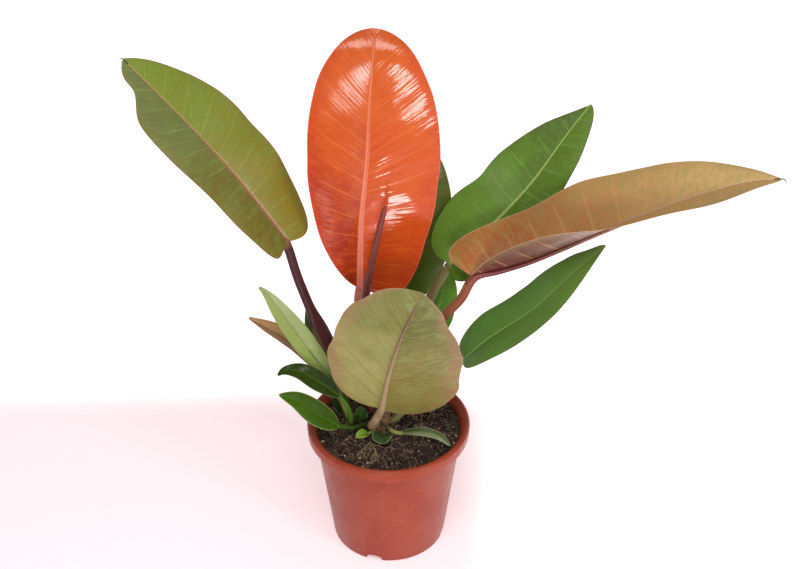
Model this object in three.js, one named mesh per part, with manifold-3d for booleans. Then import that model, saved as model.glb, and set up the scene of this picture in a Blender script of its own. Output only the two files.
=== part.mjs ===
// A potted prince of orange philodendron: a young plant of large oval leaves in a moulded plastic pot.
// Millimetres, +Z up. The origin is the centre of the pot's underside, and -Y is the front.
import * as THREE from "three";
import { mergeVertices } from "three/addons/utils/BufferGeometryUtils.js";
import Module from "manifold-3d";

const wasm = await Module();
wasm.setup();

// Pot
const POT_HEIGHT = 145;
const FOOT_RADIUS = 60;
const WALL_TOP_RADIUS = 77.4;
const RIM_RADIUS = 85;
const RIM_DEPTH = 13;
const POT_WALL = 1.6;
const FLOOR_THICKNESS = 2.6;
const FOOT_RECESS = 6;
const CENTRE_PAD_RADIUS = 20;
const FOOT_RING_WIDTH = 7;
const DRAIN_HOLE_RADIUS = 4;
const DRAIN_HOLE_CIRCLE = 37;
const DRAIN_HOLES = 4;
const NOTCH_WIDTH = 17;
const NOTCH_HEIGHT = 7;
const FIRST_NOTCH_DEGREES = 255;
const POT_SIDES = 36;

// Soil and stems
const GAP = 0.3;
const SOIL_TOP = 133;
const STEM_AT = [-6, 3];
const STEM_HOLE_FLOOR = 112;
// The main stem's outline: radius and height.
const MAIN_STEM = [
  [0, STEM_HOLE_FLOOR + GAP],
  [12, STEM_HOLE_FLOOR + GAP],
  [12.5, 137],
  [11.4, 140],
  [11.8, 148],
  [10.2, 151],
  [10.4, 159],
  [8.6, 162],
  [8.4, 170],
  [0, 171],
];
const MAIN_STEM_HOLE = 12.9;
const SIDE_STEM_AT = [-40, 2];
const SIDE_STEM = [
  [0, STEM_HOLE_FLOOR + GAP],
  [5, STEM_HOLE_FLOOR + GAP],
  [5.2, 140],
  [4.6, 142],
  [4.4, 150],
  [0, 151],
];
const SIDE_STEM_HOLE = 5.6;

// Blades
const BLADE_THICKNESS = 0.8;
const SWEEP_PEAK = 0.05;
const SWEEP_POWER = 0.3;
const STUB = 9;
const RIB_TIP_RADIUS = 0.7;
const RIB_ENDS_AT = 0.9;
const SMALL_RIB_ENDS_AT = 0.35;
const LARGE_ROWS = 16;
const LARGE_COLUMNS = 6;
const SMALL_ROWS = 7;
const SMALL_COLUMNS = 4;

// One half of a blade, from its midrib to its margin. "width" is the half's full width, and "widest" is
// where along the blade it has it. "ends" shapes the foot and the tip: 0.5 is round, 1 is pointed. "lobe"
// is how far the margin sweeps back behind the foot. "fold" and "curl" are the degrees that the half rises
// by, at the midrib and on its way to the margin, each at the foot and at the tip. "dent" is where the
// margin draws in, by which share of the width, and over which share of the length.
const half = (width, widest, ends, lobe, fold, curl = [-12, -12], dent = [0.5, 0, 0.1]) => {
  return { width, widest, ends, lobe, fold, curl, dent };
};
const alike = (...values) => [half(...values), half(...values)];

// The large leaves. "spine" runs from the blade's foot to its tip, and "face" is where the upper face
// looks at the foot and at the tip. "halves" are the left and the right one, seen on the upper face with
// the tip up. "stalk" runs from the stem to just under the blade, and "radii" are the stalk's at its ends.
// "sheath" is how much wider the stalk is where the wings of its sheath stand out.
const LARGE_LEAVES = [
  {
    name: "orange_leaf",
    spine: [[-28, 14, 302], [-25, 15, 377], [-19, 19, 436], [-16, 27, 491], [-12, 40, 540], [-10, 54, 556]],
    face: [[0, -0.95, 0.2], [0, -0.7, 0.7]],
    halves: [half(57, 0.6, [0.72, 0.5], 3, [10, 4]), half(69, 0.5, [0.27, 0.5], 10, [10, 4])],
    wave: { count: 3, height: 1.2 },
    stalk: [[-7, 7, 166], [-18, 9, 200], [-26, 11, 245], [-30, 13, 286]], radii: [5.2, 3.8],
    colour: 0xe2602c, stalkColour: 0xc2706a,
  },
  {
    name: "olive_leaf",
    spine: [[-96, 6, 358], [-139, 10, 423], [-174, 15, 468], [-209, 23, 506], [-238, 27, 538]],
    face: [[0.5, -0.6, 0.6], [0.4, -0.7, 0.55]],
    halves: [
      half(40, 0.67, [0.15, 0.77], 5, [24, 10], [-12, -12], [0.89, 0.41, 0.064]),
      half(49.5, 0.465, [0.31, 0.8], 13.5, [8, 6]),
    ],
    wave: { count: 3, height: 2 },
    stalk: [[-12, 4, 153], [-36, 1, 192], [-57, -2, 233], [-70, -1, 266], [-87, 2, 317]], radii: [7.4, 4.6],
    sheath: 1.8,
    colour: 0x8a9440, stalkColour: 0x5c2f36,
  },
  {
    name: "bronze_leaf",
    spine: [[82, 20, 310], [136, 16, 330], [198, 14, 361], [236, 14, 379], [307, 14, 409], [345, 12, 421],
      [372, 10, 424]],
    face: [[-0.4, 0, 0.9], [-0.3, -0.1, 0.9]],
    halves: [
      half(58.5, 0.49, [0.29, 1.04], 26, [44, 9], [-4, -4]),
      half(64, 0.31, [1.2, 0.95], 2, [63, 5], [0, 0]),
    ],
    wave: { count: 3, height: 2 },
    stalk: [[0, 1, 158], [13, 3, 187], [32, 8, 231], [57, 12, 268], [73, 16, 286]], radii: [5.5, 4.8],
    colour: 0xa9794a, stalkColour: 0xa8714e,
  },
  {
    name: "upper_green_leaf",
    spine: [[64, 70, 294], [113, 83, 340], [146, 98, 373], [180, 112, 420], [203, 124, 447]],
    face: [[-0.35, -0.75, 0.55], [-0.4, -0.7, 0.55]],
    halves: [
      half(53, 0.36, [0.4, 1.1], 11, [12, 8], [-12, -12], [0.41, 0.16, 0.1]),
      half(38, 0.25, [0.45, 0.55], 14, [16, 8]),
    ],
    wave: { count: 3, height: 2 },
    stalk: [[-1, 10, 150], [13, 23, 192], [28, 40, 230], [44, 54, 263], [52, 62, 277]], radii: [5.5, 4.8],
    colour: 0x5f9a3c, stalkColour: 0x8f8358,
  },
  {
    name: "lower_green_leaf",
    spine: [[77, 2, 221], [100, 0, 247], [143, -3, 285], [172, -6, 321], [208, -8, 362]],
    face: [[-0.6, -0.2, 0.75], [-0.6, -0.3, 0.7]],
    halves: [
      half(32.5, 0.28, [0.26, 0.64], 5, [12, 8], [-12, -12], [0.93, 0.16, 0.075]),
      half(32, 0.39, [0.36, 1.08], 3, [14, 10]),
    ],
    wave: { count: 2, height: 1.5 },
    stalk: [[3, 0, 142], [15, 0, 156], [28, 1, 168], [53, 2, 198]], radii: [4.8, 3.2],
    colour: 0x4b8a2e, stalkColour: 0x8b8a52,
  },
  {
    name: "front_round_leaf",
    spine: [[-7, -20, 175], [1, -32, 227], [13, -44, 281], [24, -57, 318], [32, -66, 347]],
    face: [[0, 0.95, 0.25], [0, 0.95, 0.25]],
    halves: [
      half(76, 0.21, [0.43, 0.93], 16.5, [6, 4], [6, 6], [0.765, 0.1, 0.105]),
      half(64, 0.44, [0.4, 0.37], 2, [6, 4], [6, 6]),
    ],
    wave: { count: 3, height: 1.5 },
    stalk: [[-10, -3, 147], [-17, -12, 146], [-14, -15, 154], [-10, -17, 164]], radii: [5.4, 4.2],
    colour: 0x97935a, stalkColour: 0xa98d6a,
  },
  {
    name: "rear_green_leaf",
    spine: [[16, 106, 229], [25, 108, 286], [35, 112, 332], [43, 116, 365], [49, 124, 393]],
    face: [[0.1, -0.95, 0.1], [0.1, -0.9, 0.4]],
    halves: [half(31, 0.42, [0.4, 0.6], 6, [12, 8]), half(37, 0.36, [0.45, 0.8], 6, [12, 8])],
    wave: { count: 2, height: 1.5 },
    stalk: [[-10, 12, 141], [-4, 36, 158], [3, 58, 173], [10, 88, 197]], radii: [4.8, 3.4],
    colour: 0x3c6b34, stalkColour: 0x6c7a4a,
  },
  {
    name: "inner_green_leaf",
    spine: [[42, 64, 203], [52, 70, 233], [58, 76, 256], [61, 82, 280]],
    face: [[-0.3, -0.9, 0.2], [-0.3, -0.85, 0.3]],
    halves: alike(18, 0.4, [0.45, 0.6], 0, [16, 10]),
    wave: { count: 2, height: 0.8 },
    stalk: [[0, 9, 138], [17, 30, 160], [31, 50, 183]], radii: [4, 2.4],
    colour: 0x4f8f30, stalkColour: 0x5f7f3a,
  },
];

// The small leaves are one piece each, stalk and blade in one colour, and use the same words.
const SMALL_LEAVES = [
  {
    name: "pale_side_leaf",
    spine: [[-54, -13, 201], [-72, -20, 238], [-95, -27, 285], [-115, -33, 324], [-125, -36, 337]],
    face: [[-0.3, 0.9, -0.1], [-0.2, 0.95, 0]],
    halves: [half(12, 0.4, [0.6, 1.1], 0, [24, 24]), half(12, 0.5, [0.6, 1.1], 0, [20, 20])],
    stalk: [[-42, 1, 147], [-47, -5, 172]], radii: [2.6, 2.2], colour: 0xa5b070,
  },
  {
    name: "bronze_side_leaf",
    spine: [[-73, 3, 206], [-92, 0, 236], [-109, -3, 255], [-124, -5, 267], [-142, -8, 282]],
    face: [[0.5, -0.3, 0.8], [0.5, -0.3, 0.8]],
    halves: alike(11, 0.5, [0.7, 1.3], 0, [24, 24]),
    stalk: [[-43, 4, 144], [-53, 6, 172]], radii: [2.4, 1.8], colour: 0xa97b48,
  },
  {
    name: "short_side_leaf",
    spine: [[-56, 6, 196], [-69, 5, 232], [-79, 5, 258], [-82, 5, 282]],
    face: [[0.6, -0.6, 0.3], [0.5, -0.7, 0.3]],
    halves: alike(9, 0.4, [0.7, 1.1], 0, [20, 20]),
    stalk: [[-38, 6, 144], [-45, 9, 168]], radii: [2.4, 1.8], colour: 0x527f33,
  },
  {
    name: "glossy_side_leaf",
    spine: [[-48, -24, 193], [-67, -30, 215], [-88, -36, 234], [-102, -38, 236], [-111, -38, 228]],
    face: [[0.2, -0.6, 0.7], [-0.2, -0.6, 0.8]],
    halves: alike(10.5, 0.45, [0.7, 1.15], 0, [18, 14]),
    stalk: [[-38, 0, 139], [-39, -11, 147], [-40, -19, 172]], radii: [2.6, 2.2], colour: 0x3f6424,
  },
  {
    name: "low_side_leaf",
    spine: [[-51, -26, 157], [-73, -38, 183], [-92, -46, 206], [-108, -50, 216]],
    face: [[0.2, -0.6, 0.7], [0, -0.5, 0.8]],
    halves: alike(13, 0.42, [0.55, 0.8], 0, [16, 12]),
    stalk: [[-16, 3, 139], [-29, -7, 142], [-38, -19, 149]], radii: [3, 2.6], colour: 0x4a8c33,
  },
  {
    name: "shaded_left_leaf",
    spine: [[-47, 8, 146], [-50, 12, 156], [-55, 14, 166], [-60, 15, 174]],
    face: [[0.5, -0.6, 0.5], [0.5, -0.6, 0.5]],
    halves: alike(9, 0.45, [0.6, 0.85], 0, [16, 12]),
    stalk: [[-40, 4, 137], [-45, 8, 139]], radii: [2, 1.6], colour: 0x2f5228,
  },
  {
    name: "shaded_right_leaf",
    spine: [[-30, -6, 149], [-28, -8, 157], [-28, -9, 163], [-28, -10, 170]],
    face: [[0, -0.9, 0.3], [0, -0.9, 0.3]],
    halves: alike(7, 0.45, [0.6, 0.85], 0, [16, 12]),
    stalk: [[-37, 4, 138], [-31, 1, 141]], radii: [2, 1.5], colour: 0x3d6e2c,
  },
  {
    name: "strap_leaf",
    spine: [[14, -20, 143], [27, -26, 149], [41, -30, 151], [54, -34, 148], [64, -38, 140]],
    face: [[0, -0.4, 0.9], [0.3, -0.4, 0.9]],
    halves: alike(5.2, 0.5, [0.6, 0.7], 0, [20, 10]),
    stalk: [[-1, -6, 138], [6, -15, 140]], radii: [2.6, 2.2], colour: 0x5f7f46,
  },
  {
    name: "bright_scale_leaf",
    spine: [[-21, -16, 139], [-27, -21, 142], [-34, -26, 141]],
    face: [[0, -0.4, 0.9], [0, -0.4, 0.9]],
    halves: alike(5.5, 0.5, [0.5, 0.6], 0, [14, 10]),
    stalk: [[-12, -3, 137], [-17, -10, 137]], radii: [2, 1.8], colour: 0x6d9a3a,
  },
  {
    name: "dark_scale_leaf",
    spine: [[-5, -18, 139], [-6, -26, 142], [-4, -35, 140]],
    face: [[0, -0.4, 0.9], [0, -0.4, 0.9]],
    halves: alike(11, 0.5, [0.5, 0.6], 0, [20, 14]),
    stalk: [[-5, -6, 138], [-5, -13, 138]], radii: [2.2, 2], colour: 0x3f6a34,
  },
];

// The newest leaf, still rolled: its centre line and its radius at each point of it.
const SPEAR = [[-6, -4, 166], [-17, -4, 212], [-24, -3, 258], [-22, -4, 300], [-16, -7, 336], [-11, -9, 363],
  [-6, -12, 388], [-2, -14, 408]];
const SPEAR_RADII = [4.5, 5.2, 5.6, 5.6, 5.2, 4, 2.6, 0.8];

const point = ([x, y, z]) => new THREE.Vector3(x, y, z);
const curveOf = (points) => new THREE.CatmullRomCurve3(points.map(point), false, "centripetal");
const { clamp, lerp, smoothstep, degToRad } = THREE.MathUtils;

// A closed surface as a solid that can be joined and cut: shared vertices merged, empty faces dropped.
function solidOf(geometry) {
  const bare = geometry.index ? geometry.toNonIndexed() : geometry.clone();
  bare.deleteAttribute("normal");
  bare.deleteAttribute("uv");
  const merged = mergeVertices(bare, 1e-3);
  const faces = [];
  const corners = merged.index.array;
  for (let i = 0; i < corners.length; i += 3) {
    const [a, b, c] = corners.slice(i, i + 3);
    if (a !== b && b !== c && c !== a) faces.push(a, b, c);
  }
  return new wasm.Manifold(
    new wasm.Mesh({
      numProp: 3,
      vertProperties: merged.attributes.position.array,
      triVerts: new Uint32Array(faces),
    }),
  );
}

// A solid as a named mesh with its own material.
function meshOf(name, solid, colour, roughness) {
  const { vertProperties, triVerts } = solid.getMesh();
  const geometry = new THREE.BufferGeometry();
  geometry.setAttribute("position", new THREE.BufferAttribute(vertProperties, 3));
  geometry.setIndex(new THREE.BufferAttribute(triVerts, 1));
  geometry.computeVertexNormals();
  const mesh = new THREE.Mesh(
    geometry,
    new THREE.MeshStandardMaterial({ color: colour, roughness, metalness: 0 }),
  );
  mesh.name = name;
  return mesh;
}

// A surface that is turned round the Z axis from an outline of radius and height pairs.
function turned(outline, sides, [x, y] = [0, 0]) {
  const profile = outline.map(([radius, height]) => new THREE.Vector2(radius, height));
  return new THREE.LatheGeometry(profile, sides).rotateX(Math.PI / 2).translate(x, y, 0);
}

// A closed skin of triangles from rings of points: consecutive rings are joined, the ends are closed.
function skinOf(rings) {
  const positions = [];
  const face = (a, b, c) => positions.push(...a, ...b, ...c);
  const count = rings[0].length;
  rings.slice(1).forEach((ring, k) => {
    const last = rings[k];
    ring.forEach((corner, i) => {
      const next = (i + 1) % count;
      face(last[i], last[next], ring[next]);
      face(last[i], ring[next], corner);
    });
  });
  const middle = (ring) =>
    ring.reduce((sum, p) => sum.add(p), new THREE.Vector3()).divideScalar(count);
  const first = rings[0];
  const end = rings[rings.length - 1];
  first.forEach((corner, i) => face(middle(first), first[(i + 1) % count], corner));
  end.forEach((corner, i) => face(middle(end), corner, end[(i + 1) % count]));
  const geometry = new THREE.BufferGeometry();
  geometry.setAttribute("position", new THREE.Float32BufferAttribute(positions, 3));
  return geometry;
}

// A rod along part of a curve, from one share of its length to another, with a radius for each share. It
// can be wider across than it is thick.
function rod(curve, from, to, steps, sides, radiusAt, reference, spreadAt = () => 1) {
  const rings = [];
  for (let k = 0; k <= steps; k++) {
    const share = lerp(from, to, k / steps);
    const centre = curve.getPointAt(share);
    const along = curve.getTangentAt(share);
    const across = new THREE.Vector3().crossVectors(along, reference).normalize();
    const up = new THREE.Vector3().crossVectors(across, along);
    const radius = radiusAt(share);
    const reach = radius * spreadAt(share);
    const ring = [];
    for (let i = 0; i < sides; i++) {
      const angle = (2 * Math.PI * (i + 0.5)) / sides;
      ring.push(
        centre
          .clone()
          .addScaledVector(across, reach * Math.cos(angle))
          .addScaledVector(up, -radius * Math.sin(angle)),
      );
    }
    rings.push(ring);
  }
  return solidOf(skinOf(rings));
}

// The share of a half's width at a share s of the blade's length: a round or pointed arc each way, less
// the dent.
function outline({ widest, ends, dent }, s) {
  const toFoot = s < widest;
  const away = toFoot ? (widest - s) / widest : (s - widest) / (1 - widest);
  const [place, depth, size] = dent;
  const left = 1 - depth * Math.exp(-(((s - place) / size) ** 2));
  return left * Math.max(0, 1 - away * away) ** ends[toFoot ? 0 : 1];
}

// How far the rows sweep back near the foot: none at the foot, most a little above it, fading after.
function sweepBack(s) {
  const place = s / SWEEP_PEAK;
  return place ** SWEEP_POWER * Math.exp(SWEEP_POWER * (1 - place));
}

// The frame of a blade at a share t of its spine: the point, the way along, up from the face, and across.
function spineFrame(leaf, spine, t) {
  const along = spine.getTangentAt(t);
  const up = point(leaf.face[0]).lerp(point(leaf.face[1]), t);
  up.addScaledVector(along, -up.dot(along)).normalize();
  const across = new THREE.Vector3().crossVectors(along, up);
  return { centre: spine.getPointAt(t), along, up, across };
}

// A point of the blade's middle surface: s runs along the midrib, u from the left margin (-1) to the right.
// Each half rises from the midrib by its fold and bends on by its curl, so its section is an arc of a circle.
function bladePoint(leaf, spine, length, s, u) {
  const side = leaf.halves[u < 0 ? 0 : 1];
  const reach = s * length - side.lobe * sweepBack(s) * u * u;
  const frame = spineFrame(leaf, spine, clamp(reach / length, 0, 1));
  const fold = degToRad(lerp(...side.fold, s));
  const curl = degToRad(lerp(...side.curl, s)) || 1e-4;
  const width = side.width * outline(side, s);
  const share = Math.abs(u);
  const sideways = (width * (Math.sin(fold + curl * share) - Math.sin(fold))) / curl;
  const rise = (width * (Math.cos(fold) - Math.cos(fold + curl * share))) / curl;
  const { count, height } = leaf.wave ?? { count: 0, height: 0 };
  const phase = 2 * Math.PI * count * s + (u < 0 ? 0 : 2);
  const ripple = height * Math.sin(phase) * share ** 2 * Math.sin(Math.PI * s);
  return frame.centre
    .addScaledVector(frame.along, Math.min(reach, 0))
    .addScaledVector(frame.across, Math.sign(u) * sideways)
    .addScaledVector(frame.up, rise + ripple);
}

// The blade as a thin closed sheet: one face's points, then the other's, with the same splits on both.
function bladeSolid(leaf, spine, rows, columns) {
  const length = spine.getLength();
  const at = (s, u) => bladePoint(leaf, spine, length, clamp(s, 0, 1), clamp(u, -1, 1));
  const step = 0.01;
  const faces = [1, -1].map((sign) =>
    Array.from({ length: rows + 1 }, (_, j) => {
      const s = (1 - Math.cos((Math.PI * j) / rows)) / 2;
      const pole = j === 0 || j === rows;
      return Array.from({ length: columns + 1 }, (_, i) => {
        const u = pole ? 0 : (2 * i) / columns - 1;
        const lengthways = at(s + step, u).sub(at(s - step, u));
        const crossways = at(s, u + step).sub(at(s, u - step));
        const normal = pole
          ? spineFrame(leaf, spine, s).up
          : crossways.cross(lengthways).normalize();
        return at(s, u).addScaledVector(normal, (sign * BLADE_THICKNESS) / 2);
      });
    }),
  );
  const [top, under] = faces;
  const rings = top.map((row, j) => [...row, ...under[j].slice().reverse()]);
  return solidOf(openSkin(rings));
}

// A skin of closed rings whose first and last ring are flat lines, so that the ends need no cap.
function openSkin(rings) {
  const positions = [];
  const face = (a, b, c) => positions.push(...a, ...b, ...c);
  const count = rings[0].length;
  const half = count / 2;
  rings.slice(1).forEach((ring, k) => {
    const last = rings[k];
    for (let i = 0; i < count; i++) {
      const next = (i + 1) % count;
      if (i < half) {
        face(last[i], last[next], ring[next]);
        face(last[i], ring[next], ring[i]);
      } else {
        face(last[i], last[next], ring[i]);
        face(last[next], ring[next], ring[i]);
      }
    }
  });
  const geometry = new THREE.BufferGeometry();
  geometry.setAttribute("position", new THREE.Float32BufferAttribute(positions, 3));
  return geometry;
}

// The line of a leaf's stalk, which runs on under the blade as its midrib.
function stalkLine(leaf, spine, ribEnd) {
  const under = [0.01, 0.1, 0.2, 0.32, 0.44, 0.56, 0.67, 0.78, 0.89, 1].map((share) => {
    const t = share * ribEnd;
    const { centre, up } = spineFrame(leaf, spine, t);
    return centre.addScaledVector(up, -0.6 * lerp(leaf.radii[1], RIB_TIP_RADIUS, t));
  });
  const points = [...leaf.stalk.map(point), ...under];
  const curve = new THREE.CatmullRomCurve3(points, false, "centripetal");
  const finest = 20;
  const lengths = curve.getLengths((points.length - 1) * finest);
  const total = lengths[lengths.length - 1];
  return { curve, total, foot: lengths[leaf.stalk.length * finest] / total };
}

function ribRadius(leaf, line, share) {
  if (share < line.foot) return leaf.radii[1];
  return lerp(leaf.radii[1], RIB_TIP_RADIUS, Math.sqrt((share - line.foot) / (1 - line.foot)));
}

function stalkRadius(leaf, line, share) {
  return lerp(leaf.radii[1], leaf.radii[0], (1 - clamp(share / line.foot, 0, 1)) ** 2);
}

// The wings of a sheath: none at the stem, full along the lower half of the stalk, gone a little higher.
function sheathSpread(leaf, line, share) {
  const way = share / line.foot;
  return 1 + ((leaf.sheath ?? 1) - 1) * smoothstep(way, 0, 0.3) * (1 - smoothstep(way, 0.52, 0.68));
}

const potRadius = (z) => lerp(FOOT_RADIUS, WALL_TOP_RADIUS, z / (POT_HEIGHT - 8));

function pot() {
  const floor = FOOT_RECESS + FLOOR_THICKNESS;
  const skirt = POT_HEIGHT - RIM_DEPTH;
  const inside = (z) => potRadius(z) - POT_WALL;
  const body = solidOf(
    turned(
      [
        [0, 0],
        [CENTRE_PAD_RADIUS, 0],
        [CENTRE_PAD_RADIUS + 4, FOOT_RECESS],
        [FOOT_RADIUS - FOOT_RING_WIDTH - 3, FOOT_RECESS],
        [FOOT_RADIUS - FOOT_RING_WIDTH, 0],
        [FOOT_RADIUS - 1, 0],
        [FOOT_RADIUS, 1.2],
        [potRadius(skirt), skirt],
        [WALL_TOP_RADIUS, POT_HEIGHT - 8],
        [WALL_TOP_RADIUS + 2, POT_HEIGHT - 4],
        [RIM_RADIUS - POT_WALL - 0.9, POT_HEIGHT - 4.6],
        [RIM_RADIUS - POT_WALL, skirt],
        [RIM_RADIUS - 0.4, skirt],
        [RIM_RADIUS, POT_HEIGHT - 3],
        [RIM_RADIUS - 1.4, POT_HEIGHT - 0.5],
        [RIM_RADIUS - 4, POT_HEIGHT],
        [WALL_TOP_RADIUS + 1.4, POT_HEIGHT - 0.6],
        [inside(POT_HEIGHT - 6), POT_HEIGHT - 6],
        [inside(floor + 3), floor + 3],
        [inside(floor) - 2, floor],
        [0, floor],
      ],
      POT_SIDES,
    ),
  );
  const cuts = [];
  for (let k = 0; k < DRAIN_HOLES; k++) {
    const notchAngle = degToRad(FIRST_NOTCH_DEGREES + (360 * k) / DRAIN_HOLES);
    const arch = new THREE.Shape();
    arch.moveTo(-NOTCH_WIDTH / 2, -1);
    arch.lineTo(NOTCH_WIDTH / 2, -1);
    arch.lineTo(NOTCH_WIDTH / 2, NOTCH_HEIGHT / 2);
    arch.quadraticCurveTo(NOTCH_WIDTH / 2, NOTCH_HEIGHT, 0, NOTCH_HEIGHT);
    arch.quadraticCurveTo(-NOTCH_WIDTH / 2, NOTCH_HEIGHT, -NOTCH_WIDTH / 2, NOTCH_HEIGHT / 2);
    const tunnel = new THREE.ExtrudeGeometry(arch, {
      depth: FOOT_RING_WIDTH + 3,
      bevelEnabled: false,
      curveSegments: 3,
    });
    // Stood upright, turned to run outwards, and moved out to the foot ring.
    tunnel.rotateX(Math.PI / 2).translate(0, -(FOOT_RADIUS - FOOT_RING_WIDTH) + 0.4, 0);
    tunnel.rotateZ(notchAngle + Math.PI / 2);
    cuts.push(solidOf(tunnel));
    const holeAngle = notchAngle + Math.PI / DRAIN_HOLES;
    const hole = new THREE.CylinderGeometry(DRAIN_HOLE_RADIUS, DRAIN_HOLE_RADIUS, 20, 12)
      .rotateX(Math.PI / 2)
      .translate(DRAIN_HOLE_CIRCLE * Math.cos(holeAngle), DRAIN_HOLE_CIRCLE * Math.sin(holeAngle), floor);
    cuts.push(solidOf(hole));
  }
  return cuts.reduce((left, cut) => left.subtract(cut), body);
}

// The soil's surface: low waves with a slight mound at the stem, level near the pot's wall.
function soilHeight(x, y) {
  const out = Math.hypot(x, y) / WALL_TOP_RADIUS;
  const waves =
    1.3 * Math.sin(x / 9 + 1) * Math.cos(y / 11) +
    1.0 * Math.sin(x / 4.3 + y / 5.1) +
    0.9 * Math.cos(x / 3.1 - y / 3.7 + 2);
  return (waves + 1.5) * (1 - out ** 6);
}

function soil() {
  const floor = FOOT_RECESS + FLOOR_THICKNESS + GAP;
  const wall = (z) => potRadius(z) - POT_WALL - GAP;
  const rings = 7;
  const top = Array.from({ length: rings }, (_, k) => [(wall(SOIL_TOP) * (rings - k)) / rings, SOIL_TOP]);
  const geometry = turned(
    [[0, floor], [wall(floor) - 2.4, floor], [wall(floor + 3), floor + 3], ...top, [0, SOIL_TOP]],
    POT_SIDES,
  );
  const places = geometry.attributes.position;
  for (let i = 0; i < places.count; i++) {
    if (places.getZ(i) > SOIL_TOP - 1) {
      places.setZ(i, SOIL_TOP + soilHeight(places.getX(i), places.getY(i)));
    }
  }
  const holes = [
    [MAIN_STEM_HOLE, STEM_AT],
    [SIDE_STEM_HOLE, SIDE_STEM_AT],
  ].map(([radius, at]) =>
    solidOf(
      turned(
        [[0, STEM_HOLE_FLOOR], [radius, STEM_HOLE_FLOOR], [radius, SOIL_TOP + 20], [0, SOIL_TOP + 20]],
        18,
        at,
      ),
    ),
  );
  return holes.reduce((left, hole) => left.subtract(hole), solidOf(geometry));
}

// A stem's outline grown by the gap that its leaves keep from it, at its sides and at its top.
function grown(stem) {
  const top = stem.length - 2;
  return stem.map(([radius, height], k) => [radius && radius + GAP, k < top ? height : height + GAP]);
}

const group = new THREE.Group();
const mainStem = solidOf(turned(MAIN_STEM, 16, STEM_AT));
const sideStem = solidOf(turned(SIDE_STEM, 12, SIDE_STEM_AT));
const stemSpace = [
  solidOf(turned(grown(MAIN_STEM), 16, STEM_AT)),
  solidOf(turned(grown(SIDE_STEM), 12, SIDE_STEM_AT)),
];
const clearOfStems = (solid) => stemSpace.reduce((left, stem) => left.subtract(stem), solid);

group.add(meshOf("pot", pot(), 0xb95a44, 0.42));
group.add(meshOf("soil", soil(), 0x2b1e18, 0.95));
group.add(meshOf("main_stem", mainStem, 0x6a5138, 0.8));
group.add(meshOf("side_stem", sideStem, 0x5c6b38, 0.7));

for (const leaf of LARGE_LEAVES) {
  const spine = curveOf(leaf.spine);
  const line = stalkLine(leaf, spine, RIB_ENDS_AT);
  const split = line.foot - STUB / line.total;
  const reference = point(leaf.face[0]);
  const rib = rod(line.curve, split, 1, 10, 6, (share) => ribRadius(leaf, line, share), reference);
  const blade = bladeSolid(leaf, spine, LARGE_ROWS, LARGE_COLUMNS).add(rib);
  const steps = Math.max(6, Math.round((split * line.total) / (leaf.sheath ? 14 : 22)));
  const stalk = rod(
    line.curve, 0, split - GAP / line.total, steps, 8,
    (share) => stalkRadius(leaf, line, share), reference,
    (share) => sheathSpread(leaf, line, share),
  );
  group.add(meshOf(leaf.name + "_blade", blade, leaf.colour, 0.4));
  group.add(meshOf(leaf.name + "_stalk", clearOfStems(stalk), leaf.stalkColour, 0.5));
}

for (const leaf of SMALL_LEAVES) {
  const spine = curveOf(leaf.spine);
  const line = stalkLine(leaf, spine, SMALL_RIB_ENDS_AT);
  const reference = point(leaf.face[0]);
  const radiusAt = (share) =>
    share < line.foot ? stalkRadius(leaf, line, share) : ribRadius(leaf, line, share);
  const stalk = rod(line.curve, 0, 1, 7, 5, radiusAt, reference);
  const whole = bladeSolid(leaf, spine, SMALL_ROWS, SMALL_COLUMNS).add(stalk);
  group.add(meshOf(leaf.name, clearOfStems(whole), leaf.colour, 0.45));
}

const spearLine = curveOf(SPEAR);
const spearRadius = (share) => {
  const place = share * (SPEAR_RADII.length - 1);
  const k = Math.min(Math.floor(place), SPEAR_RADII.length - 2);
  return lerp(SPEAR_RADII[k], SPEAR_RADII[k + 1], place - k);
};
const spear = rod(spearLine, 0, 1, 14, 8, spearRadius, new THREE.Vector3(0, -1, 0));
group.add(meshOf("rolled_new_leaf", clearOfStems(spear), 0x5a2a35, 0.4));

export default group;
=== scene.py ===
# %% [markdown]
# # A potted prince of orange philodendron
# This plant is a young aroid: a fan of big oval leaves on long stalks, all from one short stem in a moulded
# nursery pot. A new leaf opens orange, then turns bronze, olive and at last green, so one plant shows them
# all. The solids of every leaf already exist as a frame, with the right sizes and places. They are faceted
# and plain. Each one is replaced here by a finer surface that follows the same formula, so nothing has to
# be fitted by eye. The first step loads that frame and counts its nodes.

import math
from types import SimpleNamespace

import bpy
import numpy as np
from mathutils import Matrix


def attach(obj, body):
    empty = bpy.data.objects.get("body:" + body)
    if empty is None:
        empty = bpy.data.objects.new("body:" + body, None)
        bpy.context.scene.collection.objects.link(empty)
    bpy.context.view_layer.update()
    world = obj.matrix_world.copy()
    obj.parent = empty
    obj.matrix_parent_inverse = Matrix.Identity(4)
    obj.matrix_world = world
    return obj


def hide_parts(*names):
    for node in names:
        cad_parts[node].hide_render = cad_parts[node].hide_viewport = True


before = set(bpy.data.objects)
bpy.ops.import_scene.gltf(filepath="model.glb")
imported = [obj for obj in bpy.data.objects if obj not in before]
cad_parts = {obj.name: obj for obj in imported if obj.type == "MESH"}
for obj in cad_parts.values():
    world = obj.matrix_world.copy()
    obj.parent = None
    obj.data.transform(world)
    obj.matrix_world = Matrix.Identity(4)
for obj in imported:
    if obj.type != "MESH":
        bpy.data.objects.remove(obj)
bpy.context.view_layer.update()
MM = 0.001
print("frame nodes:", len(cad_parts))

# %% [markdown]
# ## The camera
# The photograph looks down on the plant from a little over a metre away. The camera's place and tilt come
# from a perspective fit of the pot's rim and foot. A lens is a focal length over a sensor width, so a
# focal length that is known in pixels gives the lens by a plain ratio. The camera comes first, because it
# judges the rest.

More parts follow.
